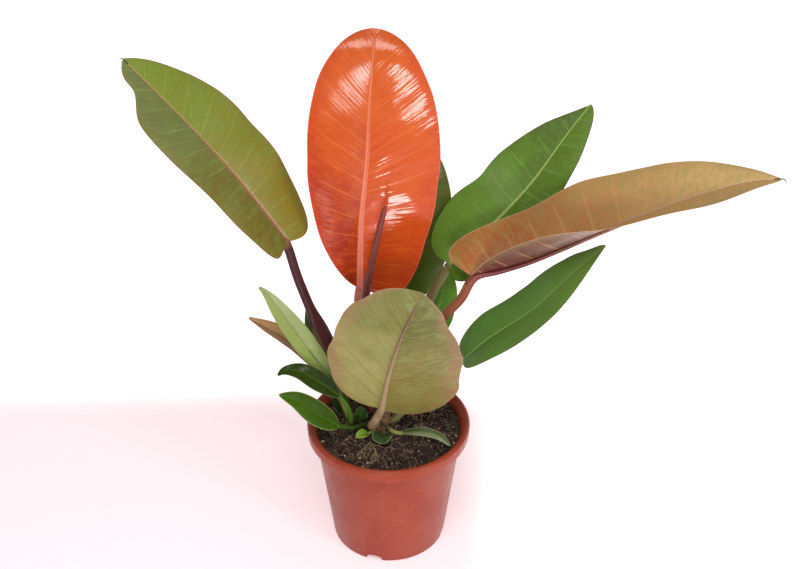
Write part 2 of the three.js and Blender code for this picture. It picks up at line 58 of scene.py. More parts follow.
# %% Camera
PHOTO_WIDTH = 800
FOCAL_PIXELS = 1334
SENSOR_WIDTH = 36.0
CAMERA_AT = (0.012, -1.091, 1.024)
CAMERA_TILT_DOWN = math.radians(33.1)


def linked(data, name):
    """A new object that shows `data`, in the scene."""
    made = bpy.data.objects.new(name, data)
    bpy.context.scene.collection.objects.link(made)
    return made


camera = linked(bpy.data.cameras.new("camera"), "camera")
camera.data.sensor_width = SENSOR_WIDTH
camera.data.lens = SENSOR_WIDTH * FOCAL_PIXELS / PHOTO_WIDTH
camera.location = CAMERA_AT
camera.rotation_euler = (math.pi / 2 - CAMERA_TILT_DOWN, 0, 0)
bpy.context.scene.camera = camera
bpy.context.scene.view_settings.view_transform = "Standard"
print("lens in millimetres:", round(camera.data.lens, 2))

# %% [markdown]
# ## Recipes for materials
# Every finish below is a small tree of nodes that ends in one Principled shader. Written out by hand,
# such trees are long and hard to read. A small class keeps them short: each call adds one node, and every
# value that it takes may be a number, a colour or the output of another node. Colours are given as they
# look on a screen and are turned into the linear values that Blender works in.

# %% Colours


def colour(code):
    """Linear red, green, blue and alpha of a screen colour such as "e2602c".

    A screen value v becomes v / 12.92 in the darks and ((v + 0.055) / 1.055) to the power 2.4 above them.
    """
    screen = np.array([int(code[k : k + 2], 16) for k in (0, 2, 4)]) / 255
    linear = np.where(screen < 0.04045, screen / 12.92, ((screen + 0.055) / 1.055) ** 2.4)
    return (*(float(value) for value in linear), 1.0)


print("orange in linear values:", [round(v, 3) for v in colour("e2602c")])

# %% Material recipes


class Recipe:
    """A node material in the making. Its calls return sockets, which later calls take as values."""

    def __init__(self, name, roughness=0.5, coat=0.0, coat_roughness=0.1, specular=0.5):
        self.material = bpy.data.materials.new(name)
        self.material.use_nodes = True
        self.tree = self.material.node_tree
        self.shader = self.tree.nodes["Principled BSDF"]
        self.shader.inputs["Roughness"].default_value = roughness
        self.shader.inputs["Specular IOR Level"].default_value = specular
        self.shader.inputs["Coat Weight"].default_value = coat
        self.shader.inputs["Coat Roughness"].default_value = coat_roughness

    def put(self, socket, value):
        """Feeds a socket: a link from another socket, a colour from its code, or a plain value."""
        if isinstance(value, bpy.types.NodeSocket):
            self.tree.links.new(value, socket)
        else:
            socket.default_value = colour(value) if isinstance(value, str) else value

    def node(self, kind, values, **settings):
        """A node of that kind, with its settings and with values for its sockets, by number."""
        made = self.tree.nodes.new(kind)
        for name, setting in settings.items():
            setattr(made, name, setting)
        for number, value in values.items():
            self.put(made.inputs[number], value)
        return made

    def attribute(self, name):
        """The three numbers that the mesh holds under `name`, as one vector."""
        return self.node("ShaderNodeAttribute", {}, attribute_name=name).outputs["Vector"]

    def place(self):
        """The point in the object's own coordinates, in millimetres."""
        point = self.node("ShaderNodeTexCoord", {}).outputs["Object"]
        return self.stretched(point, (1 / MM, 1 / MM, 1 / MM))

    def split(self, vector):
        """The three parts of a vector."""
        return self.node("ShaderNodeSeparateXYZ", {0: vector}).outputs[:3]

    def stretched(self, vector, scales):
        """The vector, with each part multiplied by its own scale."""
        return self.node("ShaderNodeVectorMath", {0: vector, 1: scales}, operation="MULTIPLY").outputs[0]

    def sum(self, operation, first, second=0.0):
        """One sum on two numbers, such as SUBTRACT, ABSOLUTE or PINGPONG."""
        return self.node("ShaderNodeMath", {0: first, 1: second}, operation=operation).outputs[0]

    def plus(self, first, second):
        """Two numbers added."""
        return self.sum("ADD", first, second)

    def times(self, first, second):
        """Two numbers multiplied."""
        return self.sum("MULTIPLY", first, second)

    def fade(self, value, start, end, low=0.0, high=1.0):
        """`low` up to start, `high` from end on, and a smooth step between."""
        values = {0: value, 1: start, 2: end, 3: low, 4: high}
        return self.node("ShaderNodeMapRange", values, interpolation_type="SMOOTHSTEP").outputs[0]

    def noise(self, vector, size, detail=2.0, roughness=0.5, scales=(1, 1, 1)):
        """Smooth random values about 0.5, in lumps of that size once the vector's parts are scaled."""
        values = {"Vector": self.stretched(vector, scales), "Scale": 1 / size}
        values.update(Detail=detail, Roughness=roughness)
        return self.node("ShaderNodeTexNoise", values).outputs["Fac"]

    def blend(self, share, first, second):
        """The first colour where share is 0, the second where it is 1."""
        return self.node("ShaderNodeMix", {0: share, 6: first, 7: second}, data_type="RGBA").outputs[2]

    def over(self, below, tint, value, start, end, low=0.0, high=1.0):
        """`tint` laid over the colour below it, as strong as that fade of a value."""
        return self.blend(self.fade(value, start, end, low, high), below, tint)

    def finish(self, base, height=None, depth=0.1, strength=1.0, roughness=None):
        """Joins colour, bump and roughness to the shader. `depth` is the bump's height in millimetres."""
        self.put(self.shader.inputs["Base Color"], base)
        if roughness is not None:
            self.put(self.shader.inputs["Roughness"], roughness)
        if height is not None:
            values = {"Strength": strength, "Distance": depth * MM, "Height": height}
            bump = self.node("ShaderNodeBump", values)
            for name in ("Normal", "Coat Normal"):
                self.put(self.shader.inputs[name], bump.outputs["Normal"])
        return self.material


trial = Recipe("trial")
trial.finish(trial.blend(trial.noise(trial.place(), 10), "a02911", "c7561d"))
print("nodes in a finish of two tints:", len(trial.tree.nodes))
bpy.data.materials.remove(trial.material)

# %% [markdown]
# ## The floor
# The plant stands on a seamless white sweep that is lit until it glows, so its shadows are faint. A curved
# backdrop could be built, but the camera looks down and never meets a horizon, so a large pale plane does.
# A little emission gives it the glow. It is greyer far in front, so that glossy leaves don't mirror glare,
# and a painted pink shade dims and tints it a little on the left.

# %% Floor
FLOOR_HALF = 5.0
FLOOR_DROP = 0.0004
FLOOR_GLOW = 0.85
FRONT_GLOW = 0.24
PAINTED_SHADE_GLOW = 0.49
# The floor turns from grey to white over this depth, and its painted pink shade ends over these, all in
# millimetres.
FRONT_FADE = (-900, -130)
PAINTED_SHADE_BACK = (170, 290)
PAINTED_SHADE_RIGHT = (60, 170)

floor_mesh = bpy.data.meshes.new("floor")
corners = [(x * FLOOR_HALF, y * FLOOR_HALF, -FLOOR_DROP) for x, y in ((-1, -1), (1, -1), (1, 1), (-1, 1))]
floor_mesh.from_pydata(corners, [], [(0, 1, 2, 3)])
floor = linked(floor_mesh, "floor")

paper = Recipe("white_paper", roughness=0.9)
paper_place = paper.place()
across, depth, _ = paper.split(paper_place)
lit = paper.fade(depth, *FRONT_FADE)
# Painted shade: on the left front the floor glows less and turns pink.
painted_shade = paper.times(paper.fade(depth, *PAINTED_SHADE_BACK, 1, 0), paper.fade(across, *PAINTED_SHADE_RIGHT, 1, 0))
glow = paper.times(paper.fade(lit, 0, 1, FRONT_GLOW, FLOOR_GLOW), paper.fade(painted_shade, 0, 1, 1, PAINTED_SHADE_GLOW))
paper.put(paper.shader.inputs["Emission Strength"], glow)
paper.put(paper.shader.inputs["Emission Color"], paper.blend(painted_shade, "fff6f8", "ffebee"))
tone = paper.noise(paper_place, 400, 1)
white = paper.blend(painted_shade, paper.blend(tone, "f6eff1", "fbf7f8"), "fce8ec")
floor_mesh.materials.append(paper.finish(paper.blend(lit, "c8c4c5", white)))
print("floor: %g m square, %g mm under the pot" % (2 * FLOOR_HALF, FLOOR_DROP / MM))

# %% [markdown]
# ## The light
# The photograph has soft studio light from the front and the right. A bright sky could give it, but would
# lay a haze on glossy leaves. A faint sky and four soft boxes keep their colours deep. The front box draws
# the broken highlights on the orange leaf and a low one its lower gloss. The right one throws the shadow
# of the rolled leaf, and the top one lights the rest.

# %% Sky and soft boxes
SKY_GLOW = 0.38
world = bpy.data.worlds.new("studio")
world.use_nodes = True
sky = world.node_tree.nodes["Background"]
sky.inputs["Color"].default_value = colour("fdf8fa")
sky.inputs["Strength"].default_value = SKY_GLOW
bpy.context.scene.world = world

# Where each soft box stands, what it looks at, its width and height in metres and its power in watts.
SOFT_BOXES = {
    "front_box": ((0.05, -1.7, 0.64), (0.0, 0.0, 0.5), (0.38, 0.3), 6.5),
    "low_box": ((-0.1, -0.7, 0.02), (0.0, 0.0, 0.37), (0.12, 0.2), 1.7),
    "right_box": ((1.5, -1.3, 0.85), (0.0, 0.0, 0.3), (0.5, 0.5), 12),
    "top_box": ((-0.15, -1.1, 2.1), (0.0, 0.0, 0.3), (0.8, 0.8), 15),
}


def soft_box(name, at, aim, size, power):
    """A rectangular area light at `at` that faces `aim`."""
    light = bpy.data.lights.new(name, "AREA")
    light.shape = "RECTANGLE"
    light.size, light.size_y = size
    light.energy = power
    lamp = linked(light, name)
    lamp.location = at
    direction = np.array(aim) - np.array(at)
    tilt = math.atan2(math.hypot(direction[0], direction[1]), -direction[2])
    lamp.rotation_euler = (tilt, 0, math.atan2(-direction[0], direction[1]))


for name, (at, aim, size, power) in SOFT_BOXES.items():
    soft_box(name, at, aim, size, power)
print("soft boxes:", len(SOFT_BOXES))

# %% [markdown]
# ## Skins from rings
# A leaf blade, a stalk, a crumb of peat and the pot are all the same thing to a mesh: a stack of closed
# rings with a skin over them. So one helper makes them all. Rings are an array of rows by points, worked
# out at once with numpy, and faces are index sums on a grid. The sign of the enclosed volume tells
# whether the faces look outwards, and turns them round if they don't. Patterns need to know where they
# are on a leaf, so a skin may carry vectors for its points, which the materials read.

# %% Skins


def skin_of(rings):
    """Points and faces of a closed skin over rings: rows by points by 3, in millimetres.

    Point (row, k) has number row * count + k. A quad joins k and k + 1 of one row to those of the next. A
    fan round its middle closes each end. Six times the volume is the sum of a . (b x c) over the triangles.
    """
    rows, count, _ = rings.shape
    points = np.concatenate([rings.reshape(-1, 3), rings[[0, -1]].mean(axis=1)])
    row, k = np.meshgrid(np.arange(rows - 1), np.arange(count), indexing="ij")
    after = (k + 1) % count
    here, ahead = row * count, (row + 1) * count
    quads = np.stack([here + k, here + after, ahead + after, ahead + k], -1).reshape(-1, 4)
    edge = np.arange(count)
    turn = (edge + 1) % count
    last = (rows - 1) * count
    foot = np.stack([np.full(count, rows * count), turn, edge], -1)
    head = np.stack([np.full(count, rows * count + 1), last + edge, last + turn], -1)
    triangles = np.concatenate([quads[:, :3], quads[:, [0, 2, 3]], foot, head])
    a, b, c = (points[triangles[:, n]] for n in range(3))
    if np.einsum("ij,ij->", a, np.cross(b, c)) < 0:
        quads, foot, head = quads[:, ::-1], foot[:, ::-1], head[:, ::-1]
    return points, [quads, np.concatenate([foot, head])]


def spread(values, rings):
    """A vector for each point of a skin: `values` broadcast over the rings, with means for the two ends."""
    full = np.broadcast_to(values, rings.shape)
    return np.concatenate([full.reshape(-1, 3), full[[0, -1]].mean(axis=1)])


def vectors(shape, **parts):
    """Vectors for the rings' points, by name: each from three parts, spread over the rings' shape."""
    flat = np.ones(shape)
    return {name: np.stack([flat * part for part in three], -1) for name, three in parts.items()}


square = np.array([(0, 0), (1, 0), (1, 1), (0, 1)])
box = np.stack([np.column_stack([square, np.full(4, height)]) for height in (0, 1)])
box_points, box_faces = skin_of(box)
print("a box of two rings: %d points, %d faces" % (len(box_points), sum(len(block) for block in box_faces)))

# %% Pieces
SHARP_ANGLE = math.radians(50)


def mesh_of(name, parts):
    """A mesh from skins: each part is its rings, in millimetres, and its vectors by name."""
    points, faces, layers = [], [], {}
    used = 0
    for rings, marks in parts:
        part_points, part_faces = skin_of(rings)
        points.append(part_points)
        faces += [(block + used).tolist() for block in part_faces]
        for key, values in marks.items():
            layers.setdefault(key, []).append(spread(values, rings))
        used += len(part_points)
    mesh = bpy.data.meshes.new(name)
    mesh.from_pydata(np.concatenate(points) * MM, [], [face for block in faces for face in block])
    for key, blocks in layers.items():
        layer = mesh.attributes.new(key, "FLOAT_VECTOR", "POINT")
        layer.data.foreach_set("vector", np.concatenate(blocks).astype(np.float32).ravel())
    return mesh


def piece_of(name, parts, material, stands_for=None, smooth=True):
    """A finished piece: its mesh, material and shading, its body and the frame node that it stands for."""
    mesh = mesh_of(name, parts)
    mesh.materials.append(material)
    mesh.polygons.foreach_set("use_smooth", np.full(len(mesh.polygons), smooth))
    mesh.set_sharp_from_angle(angle=SHARP_ANGLE)
    mesh.update()
    piece = linked(mesh, name)
    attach(piece, "root")
    if stands_for:
        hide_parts(stands_for)
    return piece


def triangles_of(piece):
    """How many triangles a piece's faces make."""
    return sum(len(face.vertices) - 2 for face in piece.data.polygons)


trial = mesh_of("trial", [(box, {})])
print("the same box as a mesh: %d faces" % len(trial.polygons))
bpy.data.meshes.remove(trial)

# %% [markdown]
# ## Curves that carry leaves
# A stalk and a midrib are gentle space curves. A few points fix each one, and a smooth curve runs through
# them. Blender's own curves would need a pair of handles at each point. A centripetal spline needs only the
# points and never loops between them, so it is used here, as in the frame. It is read off at even steps of
# its length, which makes "a share of the way along" mean the same everywhere.

# %% Curves
CURVE_SAMPLES = 500
SEGMENT_SAMPLES = 80


def curve_through(points):
    """A centripetal spline at even steps of length, its length, and each point's share of it.

    Each stretch between two points is a cubic. Its slopes at both ends come from the neighbours, weighed by
    the square roots of the distances. The first and last neighbour are mirror images of the second ones.
    """
    inner = np.asarray(points, float)
    knots = np.vstack([2 * inner[0] - inner[1], inner, 2 * inner[-1] - inner[-2]])
    gaps = np.sqrt(np.linalg.norm(np.diff(knots, axis=0), axis=1))[:, None]
    before, here, after, beyond = knots[:-3], knots[1:-2], knots[2:-1], knots[3:]
    g0, g1, g2 = gaps[:-2], gaps[1:-1], gaps[2:]
    out_of = ((here - before) / g0 - (after - before) / (g0 + g1) + (after - here) / g1) * g1
    into = ((after - here) / g1 - (beyond - here) / (g1 + g2) + (beyond - after) / g2) * g1
    t = np.linspace(0, 1, SEGMENT_SAMPLES, endpoint=False)[:, None, None]
    bend = 3 * (after - here) - 2 * out_of - into
    twist = 2 * (here - after) + out_of + into
    track = (here + out_of * t + bend * t**2 + twist * t**3).transpose(1, 0, 2).reshape(-1, 3)
    track = np.vstack([track, inner[-1]])
    travelled = np.concatenate([[0], np.cumsum(np.linalg.norm(np.diff(track, axis=0), axis=1))])
    even = np.linspace(0, travelled[-1], CURVE_SAMPLES)
    evened = np.stack([np.interp(even, travelled, track[:, n]) for n in range(3)], -1)
    return evened, travelled[-1], travelled[::SEGMENT_SAMPLES] / travelled[-1]


def read(table, share):
    """Rows of an evenly spaced table at shares of the way from its first row to its last."""
    place = np.clip(share, 0, 1) * (len(table) - 1)
    low = np.minimum(place.astype(int), len(table) - 2)
    part = (place - low)[..., None]
    return table[low] * (1 - part) + table[low + 1] * part


def unit(vectors):
    """The vectors at length one."""
    return vectors / np.linalg.norm(vectors, axis=-1, keepdims=True)


def directions(track):
    """Unit vectors along an evenly spaced track."""
    return unit(np.gradient(track, axis=0))


def mix(first, second, share):
    """From the first value at share 0 to the second at share 1."""
    return first * (1 - share) + second * share


def smooth_step(x, low, high):
    """0 up to low, 1 from high on, and 3t^2 - 2t^3 between them."""
    t = np.clip((x - low) / (high - low), 0, 1)
    return t * t * (3 - 2 * t)


print("length of a curve round a unit step: %.3f" % curve_through([(0, 0, 0), (1, 0, 0), (1, 1, 0)])[1])

# %% [markdown]
# ## The leaves in numbers
# A leaf is told by few things: the curve of its midrib, where its upper face looks, and for each half how
# wide it is, where it is widest, how round its ends are, how far its lobe hangs back and how much it
# folds up. They are the frame's numbers, apart from a degree or two of the orange leaf's fold and the
# scales' ends, so the fine leaf lies where the solid one does. The large leaves come first.

# %% Leaf values


def half(width, widest, ends, lobe, fold, curl=(-12, -12), dent=(0.5, 0, 0.1)):
    """One half of a blade: millimetres, shares of the length, degrees at foot and tip, and a dent.

    The ends are powers, and a lower one is rounder. A dent has its place, its share and its reach.
    """
    return dict(width=width, widest=widest, ends=ends, lobe=lobe, fold=fold, curl=curl, dent=dent)


def leaf_numbers(spine, face, halves, stalk, radii, wave=(0, 0), sheath=1, roll=0, uneven=0.6):
    """A leaf's numbers in millimetres, in this order.

    They are the midrib's points, the ways the upper face looks at foot and tip, the halves, the stalk's
    points and radii, a wave's count and height, a sheath's spread, a rolled lobe and how uneven the margin
    is.
    """
    numbers = dict(spine=spine, face=face, halves=halves, stalk=stalk, radii=radii)
    return dict(numbers, wave=wave, sheath=sheath, roll=roll, uneven=uneven)


LARGE_LEAVES = {
    "orange_leaf": leaf_numbers(
        [[-28, 14, 302], [-25, 15, 377], [-19, 19, 436], [-16, 27, 491], [-12, 40, 540], [-10, 54, 556]],
        [[0, -0.95, 0.2], [0, -0.7, 0.7]],
        [half(57, 0.6, [0.72, 0.5], 3, [14, 5]), half(69, 0.5, [0.27, 0.5], 10, [10, 4])],
        [[-7, 7, 166], [-18, 9, 200], [-26, 11, 245], [-30, 13, 286]], [5.2, 3.8], wave=(3, 1.2), roll=5,
    ),
    "olive_leaf": leaf_numbers(
        [[-96, 6, 358], [-139, 10, 423], [-174, 15, 468], [-209, 23, 506], [-238, 27, 538]],
        [[0.5, -0.6, 0.6], [0.4, -0.7, 0.55]],
        [half(40, 0.67, [0.15, 0.77], 5, [24, 10], [-12, -12], [0.89, 0.41, 0.064]),
         half(49.5, 0.465, [0.31, 0.8], 13.5, [8, 6])],
        [[-12, 4, 153], [-36, 1, 192], [-57, -2, 233], [-70, -1, 266], [-87, 2, 317]], [7.4, 4.6],
        sheath=1.8, wave=(3, 2),
    ),
    "bronze_leaf": leaf_numbers(
        [[82, 20, 310], [136, 16, 330], [198, 14, 361], [236, 14, 379], [307, 14, 409], [345, 12, 421],
         [372, 10, 424]],
        [[-0.4, 0, 0.9], [-0.3, -0.1, 0.9]],
        [half(58.5, 0.49, [0.29, 1.04], 26, [44, 9], [-4, -4]),
         half(64, 0.31, [1.2, 0.95], 2, [63, 5], [0, 0])],
        [[0, 1, 158], [13, 3, 187], [32, 8, 231], [57, 12, 268], [73, 16, 286]], [5.5, 4.8], wave=(3, 2),
    ),
    "upper_green_leaf": leaf_numbers(
        [[64, 70, 294], [113, 83, 340], [146, 98, 373], [180, 112, 420], [203, 124, 447]],
        [[-0.35, -0.75, 0.55], [-0.4, -0.7, 0.55]],
        [half(53, 0.36, [0.4, 1.1], 11, [12, 8], [-12, -12], [0.41, 0.16, 0.1]),
         half(38, 0.25, [0.45, 0.55], 14, [16, 8])],
        [[-1, 10, 150], [13, 23, 192], [28, 40, 230], [44, 54, 263], [52, 62, 277]], [5.5, 4.8],
        wave=(3, 2),
    ),
    "lower_green_leaf": leaf_numbers(
        [[77, 2, 221], [100, 0, 247], [143, -3, 285], [172, -6, 321], [208, -8, 362]],
        [[-0.6, -0.2, 0.75], [-0.6, -0.3, 0.7]],
        [half(32.5, 0.28, [0.26, 0.64], 5, [12, 8], [-12, -12], [0.93, 0.16, 0.075]),
         half(32, 0.39, [0.36, 1.08], 3, [14, 10])],
        [[3, 0, 142], [15, 0, 156], [28, 1, 168], [53, 2, 198]], [4.8, 3.2], wave=(2, 1.5),
    ),
    "front_round_leaf": leaf_numbers(
        [[-7, -20, 175], [1, -32, 227], [13, -44, 281], [24, -57, 318], [32, -66, 347]],
        [[0, 0.95, 0.25], [0, 0.95, 0.25]],
        [half(76, 0.21, [0.43, 0.93], 16.5, [6, 4], [6, 6], [0.765, 0.1, 0.105]),
         half(64, 0.44, [0.4, 0.37], 2, [6, 4], [6, 6])],
        [[-10, -3, 147], [-17, -12, 146], [-14, -15, 154], [-10, -17, 164]], [5.4, 4.2], wave=(3, 1.5),
        uneven=1.2,
    ),
    "rear_green_leaf": leaf_numbers(
        [[16, 106, 229], [25, 108, 286], [35, 112, 332], [43, 116, 365], [49, 124, 393]],
        [[0.1, -0.95, 0.1], [0.1, -0.9, 0.4]],
        [half(31, 0.42, [0.4, 0.6], 6, [12, 8]), half(37, 0.36, [0.45, 0.8], 6, [12, 8])],
        [[-10, 12, 141], [-4, 36, 158], [3, 58, 173], [10, 88, 197]], [4.8, 3.4], wave=(2, 1.5),
    ),
    "inner_green_leaf": leaf_numbers(
        [[42, 64, 203], [52, 70, 233], [58, 76, 256], [61, 82, 280]],
        [[-0.3, -0.9, 0.2], [-0.3, -0.85, 0.3]], [half(18, 0.4, [0.45, 0.6], 0, [16, 10])] * 2,
        [[0, 9, 138], [17, 30, 160], [31, 50, 183]], [4, 2.4], wave=(2, 0.8),
    ),
}
print("large leaves:", len(LARGE_LEAVES))

# %% [markdown]
# ## How a blade is shaped
# Think of the blade as a ruled sheet. One number, s, runs along the midrib, and another, u, runs from the
# left margin at -1 to the right one at 1. Each half first rises from the midrib by its fold and then
# bends on by its curl, so its section is an arc of a circle. Near the foot the rows sweep back, which
# forms the lobes. A sculpted mesh would look as good, but could not follow the frame to the millimetre,
# and a formula can. Real blades are never smooth: the lamina swells a little between its side veins. The
# veins are lines of equal "root", the place where a vein leaves the midrib, so the swelling is a cosine
# of that root.

# %% Outline and midrib
SWEEP_PEAK = 0.05
SWEEP_POWER = 0.3


def sweep_back(s):
    """How far rows sweep back at s: a power that rises to 1 at the peak, times a fading exponential."""
    place = s / SWEEP_PEAK
    return place**SWEEP_POWER * np.exp(SWEEP_POWER * (1 - place))


def width_share(s, widest, foot_end, tip_end):
    """The share of a half's width at s: 1 less the squared distance from the widest place, to a power."""
    away = np.where(s < widest, (widest - s) / widest, (s - widest) / (1 - widest))
    return np.maximum(0, 1 - away**2) ** np.where(s < widest, foot_end, tip_end)


def spine_tables(leaf):
    """Even tables of a midrib's points and of the ways along it, up from its face and across it."""
    track, length, _ = curve_through(leaf["spine"])
    along = directions(track)
    share = np.linspace(0, 1, len(track))[:, None]
    face = mix(np.array(leaf["face"][0], float), np.array(leaf["face"][1], float), share)
    up = unit(face - along * np.sum(face * along, axis=1, keepdims=True))
    return dict(track=track, along=along, up=up, across=np.cross(along, up), length=length)


test_leaf = LARGE_LEAVES["orange_leaf"]
test_spine = spine_tables(test_leaf)
print("orange midrib in mm: %.1f" % test_spine["length"])

# %% The blade formula
ROLL_REACH = 0.16
# Each ripple of a margin: its waves along the leaf, where it starts, its share of the width, its height.
RIPPLES = ((2.7, 0.9, 0.011, 0.3), (4.9, 2.1, 0.007, 0.2), (8.3, 4.0, 0.002, 0.1))


def ripple(s, u, column):
    """The sum of a sin(2 pi n s + b) over the ripples: a is from that column, and the halves differ."""
    return sum(row[column] * np.sin(2 * np.pi * row[0] * s + row[1] + np.sign(u)) for row in RIPPLES)


def blade_at(leaf, spine, s, u):
    """Points of the blade's middle surface, with each point's reach along the midrib and distance from it.

    A half of width w that starts at angle f and bends on by c lies w (sin(f + c|u|) - sin f) / c sideways
    and w (cos f - cos(f + c|u|)) / c up. Its reach is s times the length, less the lobe's sweep times u
    squared. A dent takes a share of the width away that falls off as a bell on both sides of its place.
    Ripples make the margin a little uneven, within a millimetre or two of the frame's.
    """
    s, u = np.broadcast_arrays(np.clip(s, 0, 1), np.clip(u, -1, 1))
    left, right = leaf["halves"]

    def pick(key, place=None):
        values = (left[key], right[key]) if place is None else (left[key][place], right[key][place])
        return np.where(u < 0, *values)

    reach = s * spine["length"] - pick("lobe") * sweep_back(s) * u**2
    share = reach / spine["length"]
    fold = np.radians(mix(pick("fold", 0), pick("fold", 1), s))
    curl = np.radians(mix(pick("curl", 0), pick("curl", 1), s))
    curl = np.where(np.abs(curl) < 1e-4, 1e-4, curl)
    width = pick("width") * width_share(s, pick("widest"), pick("ends", 0), pick("ends", 1))
    width = width * (1 - pick("dent", 1) * np.exp(-(((s - pick("dent", 0)) / pick("dent", 2)) ** 2)))
    width = width * (1 + leaf["uneven"] * ripple(s, u, 2))
    sideways = width * (np.sin(fold + curl * np.abs(u)) - np.sin(fold)) / curl
    rise = width * (np.cos(fold) - np.cos(fold + curl * np.abs(u))) / curl
    count, height = leaf["wave"]
    phase = 2 * np.pi * count * s + np.where(u < 0, 0, 2)
    rise = rise + height * np.sin(phase) * u**2 * np.sin(np.pi * s)
    rise = rise + leaf["roll"] * np.where(u > 0, u**8, 0) * np.exp(-((s / ROLL_REACH) ** 2))
    rise = rise + leaf["uneven"] * ripple(s, u, 3) * u**6 * np.sin(np.pi * s)
    points = (
        read(spine["track"], share)
        + read(spine["along"], share) * np.minimum(reach, 0)[..., None]
        + read(spine["across"], share) * (np.sign(u) * sideways)[..., None]
        + read(spine["up"], share) * rise[..., None]
    )
    return points, reach, width * np.abs(u), width


test_points = blade_at(test_leaf, test_spine, np.linspace(0, 1, 50)[:, None], np.linspace(-1, 1, 9))[0]
print("orange blade spans in mm:", np.round(np.ptp(test_points.reshape(-1, 3), axis=0), 1))

# %% [markdown]
# ## From formula to blade
# A real blade is under a millimetre thick and thinner still at its margin. The Solidify modifier could
# give the sheet its thickness, but the two faces of a leaf need to be told apart, because the under face
# has its own colour. So both faces are laid out here, half a thickness either side of the middle surface.
# Side veins leave the midrib at regular steps. They lean back in the lobes and forward near the tip, so
# the distance along the midrib where a vein starts, its root, is a simple ratio. Between the veins the
# blade swells.

# %% Side veins


def side_veins(spacing, lean, gain, swell):
    """Side veins: millimetres between two, each half's lean, how they fan out and the swelling between."""
    return dict(spacing=spacing, lean=lean, gain=gain, swell=swell)


SMOOTH_VEIN = side_veins(20, (-0.4, -0.4), 0.007, 0.1)
print("side veins of a plain blade:", SMOOTH_VEIN)

# %% Blade rings
BLADE_THICKNESS = 0.7
EDGE_THICKNESS = 0.35
SLOPE_STEP = 0.004
COLUMN_POWER = 1.4
SWELL_FADES_OVER = (8, 6)
# Vein spacings that are added to the roots of the left and the right half, so that no root is negative.
ROOT_SHIFTS = (20, 60.5)


def rows_along(leaf, rows):
    """Shares s of the rows: v^a / (v^a + (1 - v)^b), whose steps shrink towards rounder ends."""
    foot, tip = (0.8 / min(side["ends"][n] for side in leaf["halves"]) for n in (0, 1))
    v = np.linspace(0, 1, rows + 2)[1:-1]
    return v**foot / (v**foot + (1 - v) ** tip)


def blade_rings(leaf, spine, rows, columns, veins=SMOOTH_VEIN):
    """Rings of a closed blade with the vectors of its points.

    Each ring runs over the upper face from the left margin to the right one, and back along the under face.
    The normal is the cross product of small steps across and along. At x from the midrib, a vein's root is
    (reach - lean x) / (1 + gain x). The swelling is a cosine of it that fades at the midrib and the margin.
    """
    s = rows_along(leaf, rows)[:, None]
    even = np.linspace(-1, 1, 2 * columns + 1)[None, :]
    u = np.sign(even) * np.abs(even) ** COLUMN_POWER
    middle, reach, distance, width = blade_at(leaf, spine, s, u)
    forward = blade_at(leaf, spine, s + SLOPE_STEP, u)[0] - blade_at(leaf, spine, s - SLOPE_STEP, u)[0]
    sideways = blade_at(leaf, spine, s, u + SLOPE_STEP)[0] - blade_at(leaf, spine, s, u - SLOPE_STEP)[0]
    normal = unit(np.cross(sideways, forward))
    margin = width - distance
    root = (reach - np.where(u < 0, *veins["lean"]) * distance) / (1 + veins["gain"] * distance)
    root = root + np.where(u > 0, ROOT_SHIFTS[1], ROOT_SHIFTS[0]) * veins["spacing"]
    swell = -veins["swell"] * np.cos(2 * np.pi * root / veins["spacing"])
    inner, outer = SWELL_FADES_OVER
    swell = swell * (1 - np.exp(-((distance / inner) ** 2))) * (1 - np.exp(-margin / outer))
    middle = middle + normal * swell[..., None]
    thick = mix(EDGE_THICKNESS, BLADE_THICKNESS, 1 - np.abs(u) ** 8)
    offset = normal * (thick / 2)[..., None] * np.ones_like(reach)[..., None]
    rings = np.concatenate([middle + offset, (middle - offset)[:, ::-1]], axis=1)

    def both(values, flip=1):
        values = np.broadcast_to(values, reach.shape)
        return np.concatenate([values, flip * values[:, ::-1]], axis=1)

    return rings, vectors(
        rings.shape[:2],
        blade_place=(both(np.sign(u) * distance), both(reach), both(1.0, -1)),
        blade_share=(both(np.abs(u)), both(s), 0),
        blade_vein=(both(root), both(distance), both(margin)),
    )


test_rings = blade_rings(test_leaf, test_spine, 40, 8)[0]
print("orange blade: rings and points a ring:", test_rings.shape[:2])

# %% [markdown]
# ## Stalks that become midribs
# A leaf stalk doesn't stop at the blade. It runs on under it as the midrib and gets thinner all the way.
# In the frame one line makes both, and the stalk's piece ends just before the blade's piece begins. The
# same line is used here. A plain round tube would look like wire, so a stalk has a shallow groove along
# its upper side.

# %% Tubes


def tube_rings(track, radii, reference, sides, section=None, spread=1):
    """Rings of a tube: points at their radius from the track, at even angles about the way along it.

    Angle 0 looks across and a quarter turn looks up, the reference's way. `section` scales the radius by
    the angle, and may make the tube flat or grooved. `spread` stretches the rings across.
    """
    along = directions(track)
    across = unit(np.cross(along, np.asarray(reference, float)))
    up = np.cross(across, along)
    angle = 2 * np.pi * (np.arange(sides) + 0.5) / sides
    radius = np.asarray(radii)[:, None] * (section(angle) if section else 1)
    lie = (radius * np.cos(angle) * np.reshape(spread, (-1, 1)))[..., None] * across[:, None]
    rise = (radius * np.sin(angle))[..., None] * up[:, None]
    return track[:, None] + lie + rise, angle, radius


test_tube = tube_rings(test_spine["track"][::50], np.full(10, 5.0), (0, -1, 0), 12)[0]
print("a tube along the orange midrib: rings and points a ring:", test_tube.shape[:2])

# %% The line of a stalk
STUB = 9
GAP = 0.3
RIB_TIP_RADIUS = 0.7
RIB_SINKS_BY = 0.6
RIB_ENDS_AT = 0.9
SMALL_RIB_ENDS_AT = 0.35
RIB_POINTS = np.array([0.01, 0.1, 0.2, 0.32, 0.44, 0.56, 0.67, 0.78, 0.89, 1])


